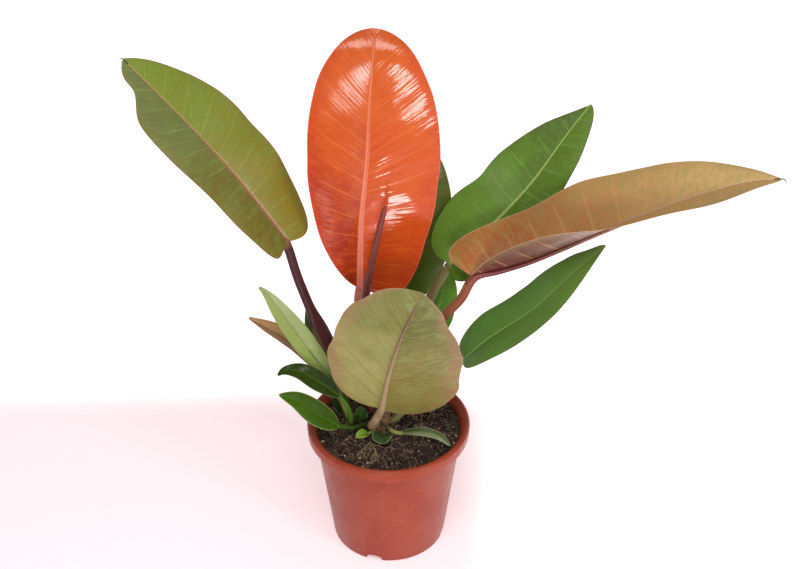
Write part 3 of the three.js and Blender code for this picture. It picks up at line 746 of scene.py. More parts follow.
def stalk_line(leaf, spine, rib_end):
    """The line of a stalk and the midrib after it, with its length and the share where the blade starts."""
    t = RIB_POINTS * rib_end
    sink = RIB_SINKS_BY * mix(leaf["radii"][1], RIB_TIP_RADIUS, t)
    under = read(spine["track"], t) - sink[:, None] * read(spine["up"], t)
    track, length, shares = curve_through(np.vstack([leaf["stalk"], under]))
    return dict(track=track, length=length, foot=shares[len(leaf["stalk"])])


def line_radius(leaf, line, share):
    """The stalk narrows with the square of what is left of it, the midrib with the root of its share."""
    thick, thin = leaf["radii"]
    left = 1 - np.clip(share / line["foot"], 0, 1)
    beyond = np.sqrt(np.clip((share - line["foot"]) / (1 - line["foot"]), 0, 1))
    return np.where(share < line["foot"], mix(thin, thick, left**2), mix(thin, RIB_TIP_RADIUS, beyond))


def sheath_spread(leaf, line, share):
    """The wings of a sheath: none at the stem, full along the stalk's lower half, gone a little higher."""
    way = share / line["foot"]
    return 1 + (leaf["sheath"] - 1) * smooth_step(way, 0, 0.3) * (1 - smooth_step(way, 0.52, 0.68))


test_line = stalk_line(test_leaf, test_spine, RIB_ENDS_AT)
print("orange stalk and midrib: %.0f mm, blade from share %.3f" % (test_line["length"], test_line["foot"]))

# %% Midribs and dry points
GROOVE_DEPTH = 0.16
GROOVE_HALF_ANGLE = 0.42
PRESSED_HEIGHT = 0.55
OFF_MARGIN = 99


def grooved(angle):
    """A round section with a shallow groove where it looks up."""
    return 1 - GROOVE_DEPTH * np.exp(-(((angle - np.pi / 2) / GROOVE_HALF_ANGLE) ** 2))


def pressed(angle, height):
    """An ellipse's upper half, that high for a width of one, on a circle's lower half."""
    return np.where(np.sin(angle) > 0, 1 / np.hypot(np.cos(angle), np.sin(angle) / height), 1)


def rib_part(leaf, spine, line, start, steps, sides):
    """The tube of a midrib, or of a whole small stalk, with the same vectors that a blade has.

    Its upper side is pressed flat where the blade begins, so that it stays below the blade's upper face.
    """
    share = np.linspace(start, 1, steps)
    radii = line_radius(leaf, line, share)
    foot = line["foot"]
    beyond = np.where(share < foot, share / foot - 1, (share - foot) / (1 - foot))
    height = mix(1, PRESSED_HEIGHT, smooth_step(beyond, -0.02, 0.06))[:, None]

    def section(angle):
        return grooved(angle) * pressed(angle, height)

    rings, angle, radius = tube_rings(read(line["track"], share), radii, leaf["face"][0], sides, section)
    way = (share * line["length"])[:, None]
    return rings, vectors(
        rings.shape[:2],
        blade_place=(radius * np.cos(angle), way, np.sin(angle)),
        blade_share=(0, beyond[:, None], 1),
        blade_vein=(way, radius * np.sin(angle), OFF_MARGIN),
    )


def hook_part(spine, offset, radius):
    """A blade's dry point: a thin cone that leaves the midrib's last stretch and bends to its offset."""
    tip = spine["track"][-1]
    end = np.asarray(offset, float)
    track, _, _ = curve_through([spine["track"][-16], tip, tip + end * (0.75, 0.6, 0.3), tip + end])
    share = np.linspace(0, 1, 20)
    rings, _, _ = tube_rings(read(track, share), radius * (1.02 - share) ** 0.5, (0, -1, 0), 8)
    along = dict(blade_place=(0, 0, 1), blade_share=(0, 1.5, 1), blade_vein=(0, 0, 50))
    return rings, vectors(rings.shape[:2], **along)


test_rings = rib_part(test_leaf, test_spine, test_line, 0, 20, 8)[0]
print("widest ring of the orange stalk in mm: %.1f" % np.ptp(test_rings, axis=1).max())

# %% [markdown]
# ## The finish of a leaf
# A leaf's colour is layered. The upper and under faces differ, each half drifts from one tint at the foot
# to another at the tip, patches and a fine mottle age it, the margin is often a thin line of its own, and
# the veins are paler. Painting that by hand would need an image. Here the blade's own measures do it:
# distances from the midrib, from the margin and between veins come with the mesh, and a fade of one of
# them places each layer. Young leaves have a waxy gloss, which is a clear coat over a duller base. Smooth
# low ridges along the veins break its highlights into streaks, and broad billows bend them. Noise with
# fine detail would haze them.

# %% Leaf settings


def look(left, under, midrib, stalk, right=None, **others):
    """A leaf's look. A pair is a tint at the foot and one at the tip. A share says how strong a tint is.

    A vein has a tint, a share and a width. The midrib's band has a half width at the foot and at the tip.
    """
    pairs = dict(left=left, right=right or left, midrib=midrib, stalk=stalk)
    pairs.update(under_left=under, under_right=under, under_midrib=under)
    pairs.update((key, others.pop(key)) for key in sorted(pairs.keys() & others.keys()))
    chosen = {key: pair.split() for key, pair in pairs.items()}
    foot_tint, tip_tint = chosen["left"]
    rib_foot, rib_tip = chosen["midrib"]
    chosen.update(edge=(tip_tint, 0.0, 0.7), patch=(foot_tint, 0.3), under_patch=1.0, mottle=0.3)
    chosen.update(vein=(rib_tip, 0.3, 0.5), band=(1.5, 0.5), core=(rib_foot, 0.0), margin=(rib_foot, 0.5))
    chosen.update(drift=0.15, relief=0.12, billow=(16, 0.25), calm=1.0, dull=0.0, groove=0.06)
    chosen.update(veins=SMOOTH_VEIN, roughness=(0.36, 0.6), coat=0.2, coat_roughness=0.2, specular=0.3)
    return {**chosen, **others}


plain_look = look(*["808080 808080"] * 4)
print("settings of a leaf's finish:", len(plain_look))

# %% What a leaf's layers read


def leaf_measures(recipe, look):
    """The values that a leaf's layers read at each point, by name.

    x is the distance right of the midrib, u a share of the half's width and s one of the leaf's length.
    `upper` is 1 on the upper face, `right` on the right half and `tube` on midrib and stalk. The off values
    are distances from the nearest side vein and from the edge of the midrib's band.
    """
    x, _, side = recipe.split(recipe.attribute("blade_place"))
    u, s, tube = recipe.split(recipe.attribute("blade_share"))
    vein_place = recipe.attribute("blade_vein")
    root, _, margin = recipe.split(vein_place)
    place = recipe.place()
    return SimpleNamespace(
        x=x, u=u, s=s, tube=tube, margin=margin, place=place, vein_place=vein_place,
        cloud=recipe.noise(place, 38, 3),
        right=recipe.fade(x, -0.8, 0.8),
        upper=recipe.fade(side, -0.3, 0.3),
        off_vein=recipe.sum("PINGPONG", root, look["veins"]["spacing"] / 2),
        off_band=recipe.sum("SUBTRACT", recipe.sum("ABSOLUTE", x), recipe.fade(s, 0, 1, *look["band"])),
    )


trial = Recipe("trial")
print("a leaf's measures:", ", ".join(vars(leaf_measures(trial, plain_look))))
bpy.data.materials.remove(trial.material)

# %% Leaf colour
STREAK_SHARE = 0.25
BAND_SHARE = 0.9
HOOK_TINT = "33241f"


def blade_tint(recipe, look, at):
    """The blade's own colour: tints by face, half and share, then an outer edge, patches and a mottle."""
    drift = recipe.plus(at.s, recipe.fade(at.cloud, 0.3, 0.7, -look["drift"], look["drift"]))
    toward_tip = recipe.fade(drift, 0.08, 0.92)
    lefts = [recipe.blend(toward_tip, *look[key]) for key in ("left", "under_left")]
    rights = [recipe.blend(toward_tip, *look[key]) for key in ("right", "under_right")]
    faces = [recipe.blend(at.right, lefts[n], rights[n]) for n in (0, 1)]
    tint = recipe.blend(at.upper, faces[1], faces[0])
    edge_tint, edge_share, edge_start = look["edge"]
    outer = recipe.fade(recipe.plus(at.u, recipe.fade(at.cloud, 0.3, 0.7, -0.12, 0.12)), edge_start, 1.0)
    tint = recipe.blend(recipe.times(outer, edge_share), tint, edge_tint)
    patch_tint, patch_share = look["patch"]
    patched = recipe.fade(at.upper, 0, 1, look["under_patch"], 1)
    blotch = recipe.fade(recipe.noise(at.place, 17, 4, 0.6), 0.5, 0.72, 0, patch_share)
    mottle = recipe.noise(at.vein_place, 5, 4, 0.7, scales=(1, 0.4, 0))
    mottle = recipe.fade(mottle, 0.45, 0.62, 0, look["mottle"])
    for layer in (blotch, mottle):
        tint = recipe.blend(recipe.times(layer, patched), tint, patch_tint)
    return tint


def veined(recipe, look, at, tint):
    """That colour under fine streaks and side veins, whose strength wanders and drops at the margin."""
    vein_tint, vein_share, vein_width = look["vein"]
    streak = recipe.noise(at.vein_place, 1.5, 3, 0.6, scales=(1, 0.09, 0))
    tint = recipe.over(tint, vein_tint, streak, 0.52, 0.75, 0, STREAK_SHARE)
    line = recipe.fade(at.off_vein, vein_width / 2, vein_width * 1.6, vein_share, 0)
    line = recipe.times(line, recipe.fade(at.u, 0.5, 0.95, 1, 0.1))
    strength = recipe.noise(at.vein_place, look["veins"]["spacing"], 0, scales=(1, 0.1, 0))
    line = recipe.times(line, recipe.fade(strength, 0.3, 0.6, 0.25, 1))
    return recipe.blend(line, tint, vein_tint)


def ribbed(recipe, look, at, tint):
    """That colour with the midrib's band, the margin's line and the tints of the tube under the midrib."""
    rib_share = recipe.fade(at.s, 0.1, 0.9)
    rib_tints = [recipe.blend(rib_share, *look[key]) for key in ("under_midrib", "midrib")]
    rib_tint = recipe.blend(at.upper, *rib_tints)
    core_tint, core_share = look["core"]
    inside = recipe.fade(at.off_band, -1.3, -0.5, recipe.times(at.upper, core_share), 0)
    band_tint = recipe.blend(inside, rib_tint, core_tint)
    tint = recipe.over(tint, band_tint, at.off_band, -0.3, 0.4, BAND_SHARE, 0)
    tint = recipe.over(tint, look["margin"][0], at.margin, 0.3, 1.1, look["margin"][1], 0)
    stalk_tint = recipe.blend(recipe.fade(at.s, -0.9, -0.05), *look["stalk"])
    tube_tint = recipe.blend(recipe.fade(at.s, -0.06, 0.05), stalk_tint, rib_tint)
    rib_streak = recipe.noise(at.vein_place, 1.4, scales=(0.05, 1, 0))
    tube_tint = recipe.over(tube_tint, look["stalk"][0], rib_streak, 0.45, 0.75, 0, 0.35)
    tube_tint = recipe.over(tube_tint, HOOK_TINT, at.s, 1.05, 1.2)
    return recipe.blend(at.tube, tint, tube_tint)


print("shares of a blade's streaks and of its midrib's band:", STREAK_SHARE, BAND_SHARE)

# %% Leaf relief and gloss


def leaf_relief(recipe, look, at):
    """The bump in millimetres: ridges along the veins, broad billows, grooves at veins and midrib."""
    size, height = look["billow"]
    swelling = recipe.times(recipe.noise(at.place, 2.4 * size, 1), 2.0)
    billow = recipe.plus(recipe.noise(at.vein_place, size, 1, scales=(1, 0.3, 0)), swelling)
    depth = recipe.fade(at.right, 0, 1, look["calm"] * height, height)
    ridge = recipe.noise(at.vein_place, 2.2, 0, scales=(1, 0.06, 0))
    relief = recipe.fade(ridge, 0.25, 0.75, 0, look["relief"])
    relief = recipe.plus(relief, recipe.fade(billow, 0.7, 2.3, 0, recipe.times(depth, 2.0)))
    relief = recipe.plus(relief, recipe.fade(at.off_vein, 0, 1.5, -look["groove"], 0))
    return recipe.plus(relief, recipe.fade(at.off_band, -1.5, 0.8, -0.3, 0))


def leaf_finish(name, look):
    """A leaf's material: the layers of colour, the relief, a rougher under face and a coat.

    The coat is worn on the left half, away from the midrib, and less so near the tip.
    """
    recipe = Recipe(name, 0.5, look["coat"], look["coat_roughness"], look["specular"])
    at = leaf_measures(recipe, look)
    tint = ribbed(recipe, look, at, veined(recipe, look, at, blade_tint(recipe, look, at)))
    worn = recipe.times(recipe.fade(at.x, -26, -2, look["dull"], 0), recipe.fade(at.s, 0.6, 0.85, 1, 0.4))
    recipe.put(recipe.shader.inputs["Coat Weight"], recipe.fade(worn, 0, 1, look["coat"], 0))
    under_dull = recipe.blend(at.upper, "ffffff", "000000")
    shine = recipe.fade(recipe.plus(at.cloud, under_dull), 0.3, 1.2, *look["roughness"])
    return recipe.finish(tint, leaf_relief(recipe, look, at), depth=1.0, strength=0.9, roughness=shine)


trial = leaf_finish("trial", plain_look)
print("nodes in a leaf's finish:", len(trial.node_tree.nodes))
bpy.data.materials.remove(trial)

# %% [markdown]
# ## How the large leaves look
# Young leaves at the centre are orange, the ones to the right have passed through bronze, and the oldest
# are olive and green. A separate node tree for each would repeat one recipe eight times. A table of looks
# keeps what differs side by side, where it is easy to compare.

# %% Looks of the large leaves
LOOKS = {
    # The orange leaf's left half starts a deeper red at the foot than its right half: painted shade.
    "orange_leaf": look(
        "a02911 c7561d", "b34a30 c46038", "e8806a dc7850", "9c4f52 cc6f66", right="c54214 ca5716",
        under_midrib="d0705c d0705c", edge=("bc3c20", 0.5, 0.75), vein=("e87a3c", 0.3, 0.8),
        band=(3.0, 0.8), margin=("d8705c", 0.6), patch=("d25a22", 0.35), relief=0.09,
        billow=(11, 0.45), calm=0.3, dull=0.85, groove=0.03, specular=0.1, coat=0.8, coat_roughness=0.12,
        veins=side_veins(19, (-0.2, -0.2), 0.0065, 0.08),
    ),
    "olive_leaf": look(
        "6e621b 697140", "8c8c50 8f9856", "a8704c b08a5c", "4f2422 3e181c", right="826e17 728325",
        under_midrib="9a6a48 9a6a48", edge=("7f7434", 0.4, 0.7), vein=("a4a858", 0.25, 0.6),
        band=(2.3, 0.5), core=("80503a", 0.6), margin=("8a5038", 0.8), patch=("6c8438", 0.45),
        veins=side_veins(24, (-0.3, -0.3), 0.006, 0.08),
    ),
    "bronze_leaf": look(
        "b66730 dab475", "7a4640 a08a70", "7a3236 e0b494", "90502b 904b31", right="c27739 d0a35d",
        under_right="723c3a b09a80", under_midrib="6c2c34 6c2c34", edge=("938044", 0.35, 0.6),
        vein=("dca468", 0.5, 1.2), band=(1.8, 0.9), margin=("c9987c", 0.8), patch=("a29c50", 0.35),
        under_patch=0.1, mottle=0.4, drift=0.05, roughness=(0.3, 0.5), coat=0.3,
        veins=side_veins(26, (-0.5, -0.5), 0.004, 0.1),
    ),
    "upper_green_leaf": look(
        "6d9534 576b2f", "84a060 8caa64", "b9cc70 a0c060", "5d5128 6b5f34", right="53781c 617b2d",
        vein=("90ba68", 0.25, 0.7), band=(1.7, 0.6), margin=("4a3a38", 0.75), patch=("5f9a36", 0.3),
        coat=0.05, specular=0.15, veins=side_veins(30, (-0.25, -0.25), 0.004, 0.08),
    ),
    "lower_green_leaf": look(
        "58802f 65883f", "6a9450 719a56", "8cb058 78a048", "7b7848 8d8c54", right="5a802f 688b3a",
        vein=("5f9840", 0.25, 0.5), band=(1.0, 0.4), margin=("54403a", 0.5), patch=("4c8e2e", 0.3),
        veins=side_veins(24, (-0.2, -0.2), 0.006, 0.12),
    ),
    "front_round_leaf": look(
        "7d7c3e 86904a", "817136 5b5d1b", "b39a72 8c6a58", "8c6a4c a88c6c", under_right="a09558 6c6b26",
        under_midrib="a08866 7a5648", edge=("96644c", 0.55, 0.7), vein=("5c4634", 0.65, 0.5),
        band=(0.8, 0.4), margin=("a8806c", 0.7), patch=("7f8a4a", 0.5), mottle=0.45, roughness=(0.36, 0.5),
        coat=0.3, coat_roughness=0.35, veins=side_veins(22, (0.1, 0.85), 0.003, 0.12),
    ),
    "rear_green_leaf": look(
        "495b11 576216", "5d8048 648850", "6f8f48 5f8240", "647048 6c7a4a", band=(0.9, 0.4),
    ),
    "inner_green_leaf": look(
        "578f2e 659934", "6a9450 729c56", "93b35e 80a850", "5a7438 5f7f3a", band=(0.9, 0.4),
    ),
}
print("looks of large leaves:", len(LOOKS))

# %% [markdown]
# ## The large blades
# With the numbers, the formula and the finish in place, a blade takes a few lines: tables, rings, one
# piece. They could be written out leaf by leaf, but a loop treats all leaves alike. Two blades end in a
# dry point.

# %% Large blades
LARGE_ROWS = 230
LARGE_COLUMNS = 22
RIB_STEPS = 80
RIB_SIDES = 14
# How far each dry point reaches from its blade's tip, in millimetres.
HOOKS = {"olive_leaf": (-3.5, 0.5, 1.5), "bronze_leaf": (2.5, -0.5, -6.5)}
HOOK_RADIUS = 0.8

spines, lines = {}, {}
for name, leaf in LARGE_LEAVES.items():
    spines[name] = spine_tables(leaf)
    lines[name] = stalk_line(leaf, spines[name], RIB_ENDS_AT)
    start = lines[name]["foot"] - STUB / lines[name]["length"]
    parts = [
        blade_rings(leaf, spines[name], LARGE_ROWS, LARGE_COLUMNS, LOOKS[name]["veins"]),
        rib_part(leaf, spines[name], lines[name], start, RIB_STEPS, RIB_SIDES),
    ]
    if name in HOOKS:
        parts.append(hook_part(spines[name], HOOKS[name], HOOK_RADIUS))
    blade = piece_of(name, parts, leaf_finish(name + "_skin", LOOKS[name]), name + "_blade")
    print("%s: %d triangles" % (name, triangles_of(blade)))

# %% [markdown]
# ## The large stalks
# Stalks are fleshy and a little glossy, with fine lengthwise streaks and small pale flecks. Their colour
# runs from the stem's brown to the midrib's tint. A noise that is stretched along the stalk gives the
# streaks. It reads a point's place round the stalk as a circle, since an angle would leave a seam.

# %% Stalk finish


def stalk_finish(name, foot, head, fleck, wing=None):
    """A stalk's material: a drift from foot to head tint, lengthwise streaks, small flecks and wings."""
    recipe = Recipe(name, coat=0.1, coat_roughness=0.25, specular=0.25)
    share, upward, aside = recipe.split(recipe.attribute("stalk_share"))
    turn = recipe.attribute("stalk_turn")
    cloud = recipe.noise(turn, 30)
    drift = recipe.plus(share, recipe.fade(cloud, 0.3, 0.7, -0.2, 0.2))
    skin = recipe.blend(recipe.fade(drift, 0.05, 0.9), foot, head)
    streak = recipe.noise(turn, 1.3, 3, scales=(1, 1, 0.05))
    skin = recipe.over(skin, foot, streak, 0.48, 0.75, 0, 0.45)
    skin = recipe.over(skin, fleck, upward, 0.2, 1.0, 0, 0.25)
    speck = recipe.noise(turn, 0.9, 1, scales=(1, 1, 0.4))
    skin = recipe.over(skin, fleck, speck, 0.66, 0.74, 0, 0.5)
    if wing:
        skin = recipe.over(skin, wing, aside, -0.72, -0.5, 0.8, 0)
    roughness = recipe.fade(streak, 0.3, 0.7, 0.38, 0.55)
    return recipe.finish(skin, height=streak, depth=0.2, strength=0.6, roughness=roughness)


FLECKS = {
    "orange_leaf": "c97a70",
    "olive_leaf": "5c3034",
    "bronze_leaf": "b08058",
    "upper_green_leaf": "938a5a",
    "lower_green_leaf": "a9a670",
    "front_round_leaf": "c0a988",
    "rear_green_leaf": "8f9a68",
    "inner_green_leaf": "86a05c",
}
WINGS = {"olive_leaf": "6c6238"}
print("stalks with flecks: %d, with wings: %d" % (len(FLECKS), len(WINGS)))

# %% Large stalks
STALK_STEPS = 70
STALK_SIDES = 22


def stalk_part(track, share, length, radii, reference, sides, section, spread=1.0):
    """A stalk's rings, with each point's share of it, its look up, its wing and its turned place."""
    rings, angle, radius = tube_rings(track, radii, reference, sides, section, spread)
    wings = np.reshape(np.asarray(spread) - 1, (-1, 1)) * np.cos(angle)
    return rings, vectors(
        radius.shape,
        stalk_share=((share / share[-1])[:, None], np.sin(angle), wings),
        stalk_turn=(radius * np.cos(angle), radius * np.sin(angle), (share * length)[:, None]),
    )


for name, leaf in LARGE_LEAVES.items():
    line = lines[name]
    share = np.linspace(0, line["foot"] - (STUB + GAP) / line["length"], STALK_STEPS)
    radii, wider = line_radius(leaf, line, share), sheath_spread(leaf, line, share)
    form = (radii, leaf["face"][0], STALK_SIDES, grooved, wider)
    part = stalk_part(read(line["track"], share), share, line["length"], *form)
    finish = stalk_finish(name + "_stalk_skin", *LOOKS[name]["stalk"], FLECKS[name], WINGS.get(name))
    piece_of(name + "_long_stalk", [part], finish, name + "_stalk")
print("large stalks:", len(LARGE_LEAVES))

# %% [markdown]
# ## The small leaves
# The side shoot and the foot of the main stem carry narrow young leaves, each a single piece with its
# stalk. They use the same formula with fewer rows, because nobody sees a third of a millimetre on a leaf
# this size.

# %% Small leaf values
SMALL_LEAVES = {
    "pale_side_leaf": leaf_numbers(
        [[-54, -13, 201], [-72, -20, 238], [-95, -27, 285], [-115, -33, 324], [-125, -36, 337]],
        [[-0.3, 0.9, -0.1], [-0.2, 0.95, 0]],
        [half(12, 0.4, [0.6, 1.1], 0, [24, 24]), half(12, 0.5, [0.6, 1.1], 0, [20, 20])],
        [[-42, 1, 147], [-47, -5, 172]], [2.6, 2.2],
    ),
    "bronze_side_leaf": leaf_numbers(
        [[-73, 3, 206], [-92, 0, 236], [-109, -3, 255], [-124, -5, 267], [-142, -8, 282]],
        [[0.5, -0.3, 0.8], [0.5, -0.3, 0.8]], [half(11, 0.5, [0.7, 1.3], 0, [24, 24])] * 2,
        [[-43, 4, 144], [-53, 6, 172]], [2.4, 1.8],
    ),
    "short_side_leaf": leaf_numbers(
        [[-56, 6, 196], [-69, 5, 232], [-79, 5, 258], [-82, 5, 282]], [[0.6, -0.6, 0.3], [0.5, -0.7, 0.3]],
        [half(9, 0.4, [0.7, 1.1], 0, [20, 20])] * 2, [[-38, 6, 144], [-45, 9, 168]], [2.4, 1.8],
    ),
    "glossy_side_leaf": leaf_numbers(
        [[-48, -24, 193], [-67, -30, 215], [-88, -36, 234], [-102, -38, 236], [-111, -38, 228]],
        [[0.2, -0.6, 0.7], [-0.2, -0.6, 0.8]], [half(10.5, 0.45, [0.7, 1.15], 0, [18, 14])] * 2,
        [[-38, 0, 139], [-39, -11, 147], [-40, -19, 172]], [2.6, 2.2],
    ),
    "low_side_leaf": leaf_numbers(
        [[-51, -26, 157], [-73, -38, 183], [-92, -46, 206], [-108, -50, 216]],
        [[0.2, -0.6, 0.7], [0, -0.5, 0.8]], [half(13, 0.42, [0.55, 0.8], 0, [16, 12])] * 2,
        [[-16, 3, 139], [-29, -7, 142], [-38, -19, 149]], [3, 2.6],
    ),
    "shaded_left_leaf": leaf_numbers(
        [[-47, 8, 146], [-50, 12, 156], [-55, 14, 166], [-60, 15, 174]],
        [[0.5, -0.6, 0.5], [0.5, -0.6, 0.5]], [half(9, 0.45, [0.6, 0.85], 0, [16, 12])] * 2,
        [[-40, 4, 137], [-45, 8, 139]], [2, 1.6],
    ),
    "shaded_right_leaf": leaf_numbers(
        [[-30, -6, 149], [-28, -8, 157], [-28, -9, 163], [-28, -10, 170]], [[0, -0.9, 0.3], [0, -0.9, 0.3]],
        [half(7, 0.45, [0.6, 0.85], 0, [16, 12])] * 2, [[-37, 4, 138], [-31, 1, 141]], [2, 1.5],
    ),
    "strap_leaf": leaf_numbers(
        [[14, -20, 143], [27, -26, 149], [41, -30, 151], [54, -34, 148], [64, -38, 140]],
        [[0, -0.4, 0.9], [0.3, -0.4, 0.9]], [half(5.2, 0.5, [0.6, 0.7], 0, [20, 10])] * 2,
        [[-1, -6, 138], [6, -15, 140]], [2.6, 2.2],
    ),
    "bright_scale_leaf": leaf_numbers(
        [[-21, -16, 139], [-27, -21, 142], [-34, -26, 141]], [[0, -0.4, 0.9], [0, -0.4, 0.9]],
        [half(5.5, 0.45, [0.7, 1.1], 0, [24, 14])] * 2, [[-12, -3, 137], [-17, -10, 137]], [2, 1.8],
    ),
    "dark_scale_leaf": leaf_numbers(
        [[-5, -18, 139], [-6, -26, 142], [-4, -35, 140]], [[0, -0.4, 0.9], [0, -0.4, 0.9]],
        [half(11, 0.5, [0.6, 0.9], 0, [24, 14])] * 2, [[-5, -6, 138], [-5, -13, 138]], [2.2, 2],
    ),
}
print("small leaves:", len(SMALL_LEAVES))

# %% [markdown]
# ## How small leaves look
# Small leaves age faster than large ones. One shows its pale under face, one is still bronze, one is dark
# and wet-looking with a right half darkened as painted shade, two that sit in shade carry darker tints as
# painted shade, and the scales at the stem's foot have pale rims. Only the tints change, so this is a table
# too, and each leaf is made by the same lines as a large blade. Its tube is the whole stalk.

# %% Looks of the small leaves
SMALL_VEIN = side_veins(11, (-0.1, -0.1), 0.02, 0.06)


def small_look(*pairs, **others):
    """The look of a small leaf: closer veins and, if nothing else is said, a thin midrib."""
    return look(*pairs, veins=SMALL_VEIN, **{"band": (0.4, 0.2), **others})


SMALL_LOOKS = {
    "pale_side_leaf": small_look(
        "798940 839148", "758738 87954d", "b5bf86 a9b878", "6f7f40 8f9c50", right="7b8c42 85934a",
        under_left="7f8e54 96a16b", under_midrib="54632a 54632a", band=(0.3, 0.1), margin=("6a5a44", 0.4),
        vein=("8ea054", 0.3, 0.3),
    ),
    "bronze_side_leaf": small_look(
        "b68e52 aa8059", "9c6450 a06a58", "b07a44 a87040", "6a5030 8a643c", right="bf9662 c69b6b",
        edge=("8a5a48", 0.5, 0.6),
    ),
    "short_side_leaf": small_look(
        "3c6a22 4a7a2a", "6f9050 7a9a58", "5f8438 5f8438", "5f6f38 7a8f48", right="406e24 4f7f2c",
    ),
    # The glossy leaf's right half is tinted darker than its left: painted shade.
    "glossy_side_leaf": small_look(
        "213001 2c3e03", "587a40 608448", "41631c 4a6c22", "3f5a1a 4a681f", right="172301 263602",
        band=(0.5, 0.2), vein=("3f6018", 0.3, 0.3), margin=("5a7030", 0.4), roughness=(0.3, 0.42),
        coat=0.08, specular=0.12,
    ),
    "low_side_leaf": small_look(
        "375504 3e5a05", "5c8040 688c48", "3f7a20 447c24", "2f4116 384d19", right="344a04 364e04",
        band=(0.5, 0.2), vein=("4c8a2c", 0.3, 0.3), margin=("8aa060", 0.7), coat=0.08, specular=0.12,
    ),
    # The dark tints of the two shaded leaves are painted shade over their own green.
    "shaded_left_leaf": small_look(
        "22401a 29491c", "3c5a2c 3c5a2c", "345224 345224", "3c4a26 3c4f28",
    ),
    "shaded_right_leaf": small_look(
        "1c350f 213c11", "4a6f34 4a743a", "456a2c 456a2c", "4a5f2a 50682c",
    ),
    "strap_leaf": small_look(
        "36481d 445524", "7c8c54 84945a", "5f7640 5f7640", "9c9c54 98a058", right="818862 898f6b",
        margin=("9aa27c", 0.6),
    ),
    "bright_scale_leaf": small_look(
        "678921 749327", "7a9848 7a9848", "86a840 86a840", "8a8c4c 98a850", right="64902a 72982c",
        margin=("a8b060", 0.5),
    ),
    "dark_scale_leaf": small_look(
        "283f1c 304822", "4c6a34 4c6a34", "3a5a2c 3a5a2c", "5a5c30 4c6036", right="2a401e 334a24",
        margin=("8a9464", 0.7), roughness=(0.3, 0.45),
    ),
}

print("looks of small leaves:", len(SMALL_LOOKS))

# %% Small leaves
SMALL_ROWS = 80
SMALL_COLUMNS = 9
SMALL_RIB_STEPS = 60
SMALL_RIB_SIDES = 12

for name, leaf in SMALL_LEAVES.items():
    spine = spine_tables(leaf)
    line = stalk_line(leaf, spine, SMALL_RIB_ENDS_AT)
    parts = [
        blade_rings(leaf, spine, SMALL_ROWS, SMALL_COLUMNS, SMALL_VEIN),
        rib_part(leaf, spine, line, 0, SMALL_RIB_STEPS, SMALL_RIB_SIDES),
    ]
    blade = piece_of(name + "_whole", parts, leaf_finish(name + "_skin", SMALL_LOOKS[name]), name)
print("triangles of one small leaf:", triangles_of(blade))

# %% [markdown]
# ## The rolled leaf
# The newest leaf is still a spear: one blade rolled round itself, so a seam runs up it where the outer
# edge lies over the next turn. Its section is a spiral, a circle whose radius grows with the angle and
# drops at the seam. That is one factor on a tube's radius, and cheaper than rolling up a flat sheet.

# %% Rolled new leaf
SPEAR = [[-6, -4, 166], [-17, -4, 212], [-24, -3, 258], [-22, -4, 300], [-16, -7, 336], [-11, -9, 363],
         [-6, -12, 388], [-2, -14, 408]]
SPEAR_RADII = np.array([4.5, 5.0, 5.1, 4.8, 4.4, 3.8, 3.0, 2.1])
SPEAR_STEPS = 150
SPEAR_SIDES = 48
SPEAR_ROUNDS_AT = 0.96
SPEAR_END = 1.004
SEAM_ANGLE = 0.68 * np.pi


def spiral(angle):
    """A round section that grows by a seventh in one turn from the seam."""
    return 0.9 + 0.14 * ((angle - SEAM_ANGLE) % (2 * np.pi)) / (2 * np.pi)


track, length, _ = curve_through(SPEAR)
share = np.linspace(0, 1, SPEAR_STEPS)
radii = np.interp(share, np.linspace(0, 1, len(SPEAR_RADII)), SPEAR_RADII)
radii = radii * np.sqrt(1 - np.clip((share - SPEAR_ROUNDS_AT) / (SPEAR_END - SPEAR_ROUNDS_AT), 0, 1) ** 2)
part = stalk_part(read(track, share), share, length, radii, (0, -1, 0), SPEAR_SIDES, spiral)
spear_skin = stalk_finish("rolled_leaf_skin", "5c1e1f", "712725", "965a4c")
spear = piece_of("rolled_spear", [part], spear_skin, "rolled_new_leaf")
print("spear: %.0f mm long, %d triangles" % (length, triangles_of(spear)))

# %% [markdown]
# ## The pot
# A nursery pot is injection-moulded in one piece: a tapered wall, a rim that turns over and hangs down,
# and a foot ring with notches that let water out. Turned shapes are best made by turning a profile, as
# the Screw or Spin tool does. Here the profile is a list of corners, each with its own rounding, and
# numpy turns it. The holes and the notches break the turned shape, so a Boolean modifier cuts them, and
# is applied at once.

# %% Pot measures
POT_HEIGHT = 145
FOOT_RADIUS = 60
WALL_TOP_RADIUS = 77.4
WALL_TOP = POT_HEIGHT - 8
RIM_RADIUS = 85
RIM_DEPTH = 13
POT_WALL = 1.6
FLOOR_THICKNESS = 2.6
FOOT_RECESS = 6
FOOT_RING_WIDTH = 7
CENTRE_PAD_RADIUS = 20
DRAIN_HOLE_RADIUS = 4
DRAIN_HOLE_CIRCLE = 37
NOTCH_WIDTH = 17
NOTCH_HEIGHT = 7
NOTCH_DEGREES = 255 + 90 * np.arange(4)
POT_SIDES = 200
PLASTIC_SHARP_ANGLE = math.radians(35)
POT_FLOOR = FOOT_RECESS + FLOOR_THICKNESS
SKIRT = POT_HEIGHT - RIM_DEPTH
print("pot: %g mm high, rim %g mm and foot %g mm wide" % (POT_HEIGHT, 2 * RIM_RADIUS, 2 * FOOT_RADIUS))

# %% Pot profile


def wall_radius(z):
    """The pot wall's outer radius at a height: a straight taper."""
    return mix(FOOT_RADIUS, WALL_TOP_RADIUS, z / WALL_TOP)


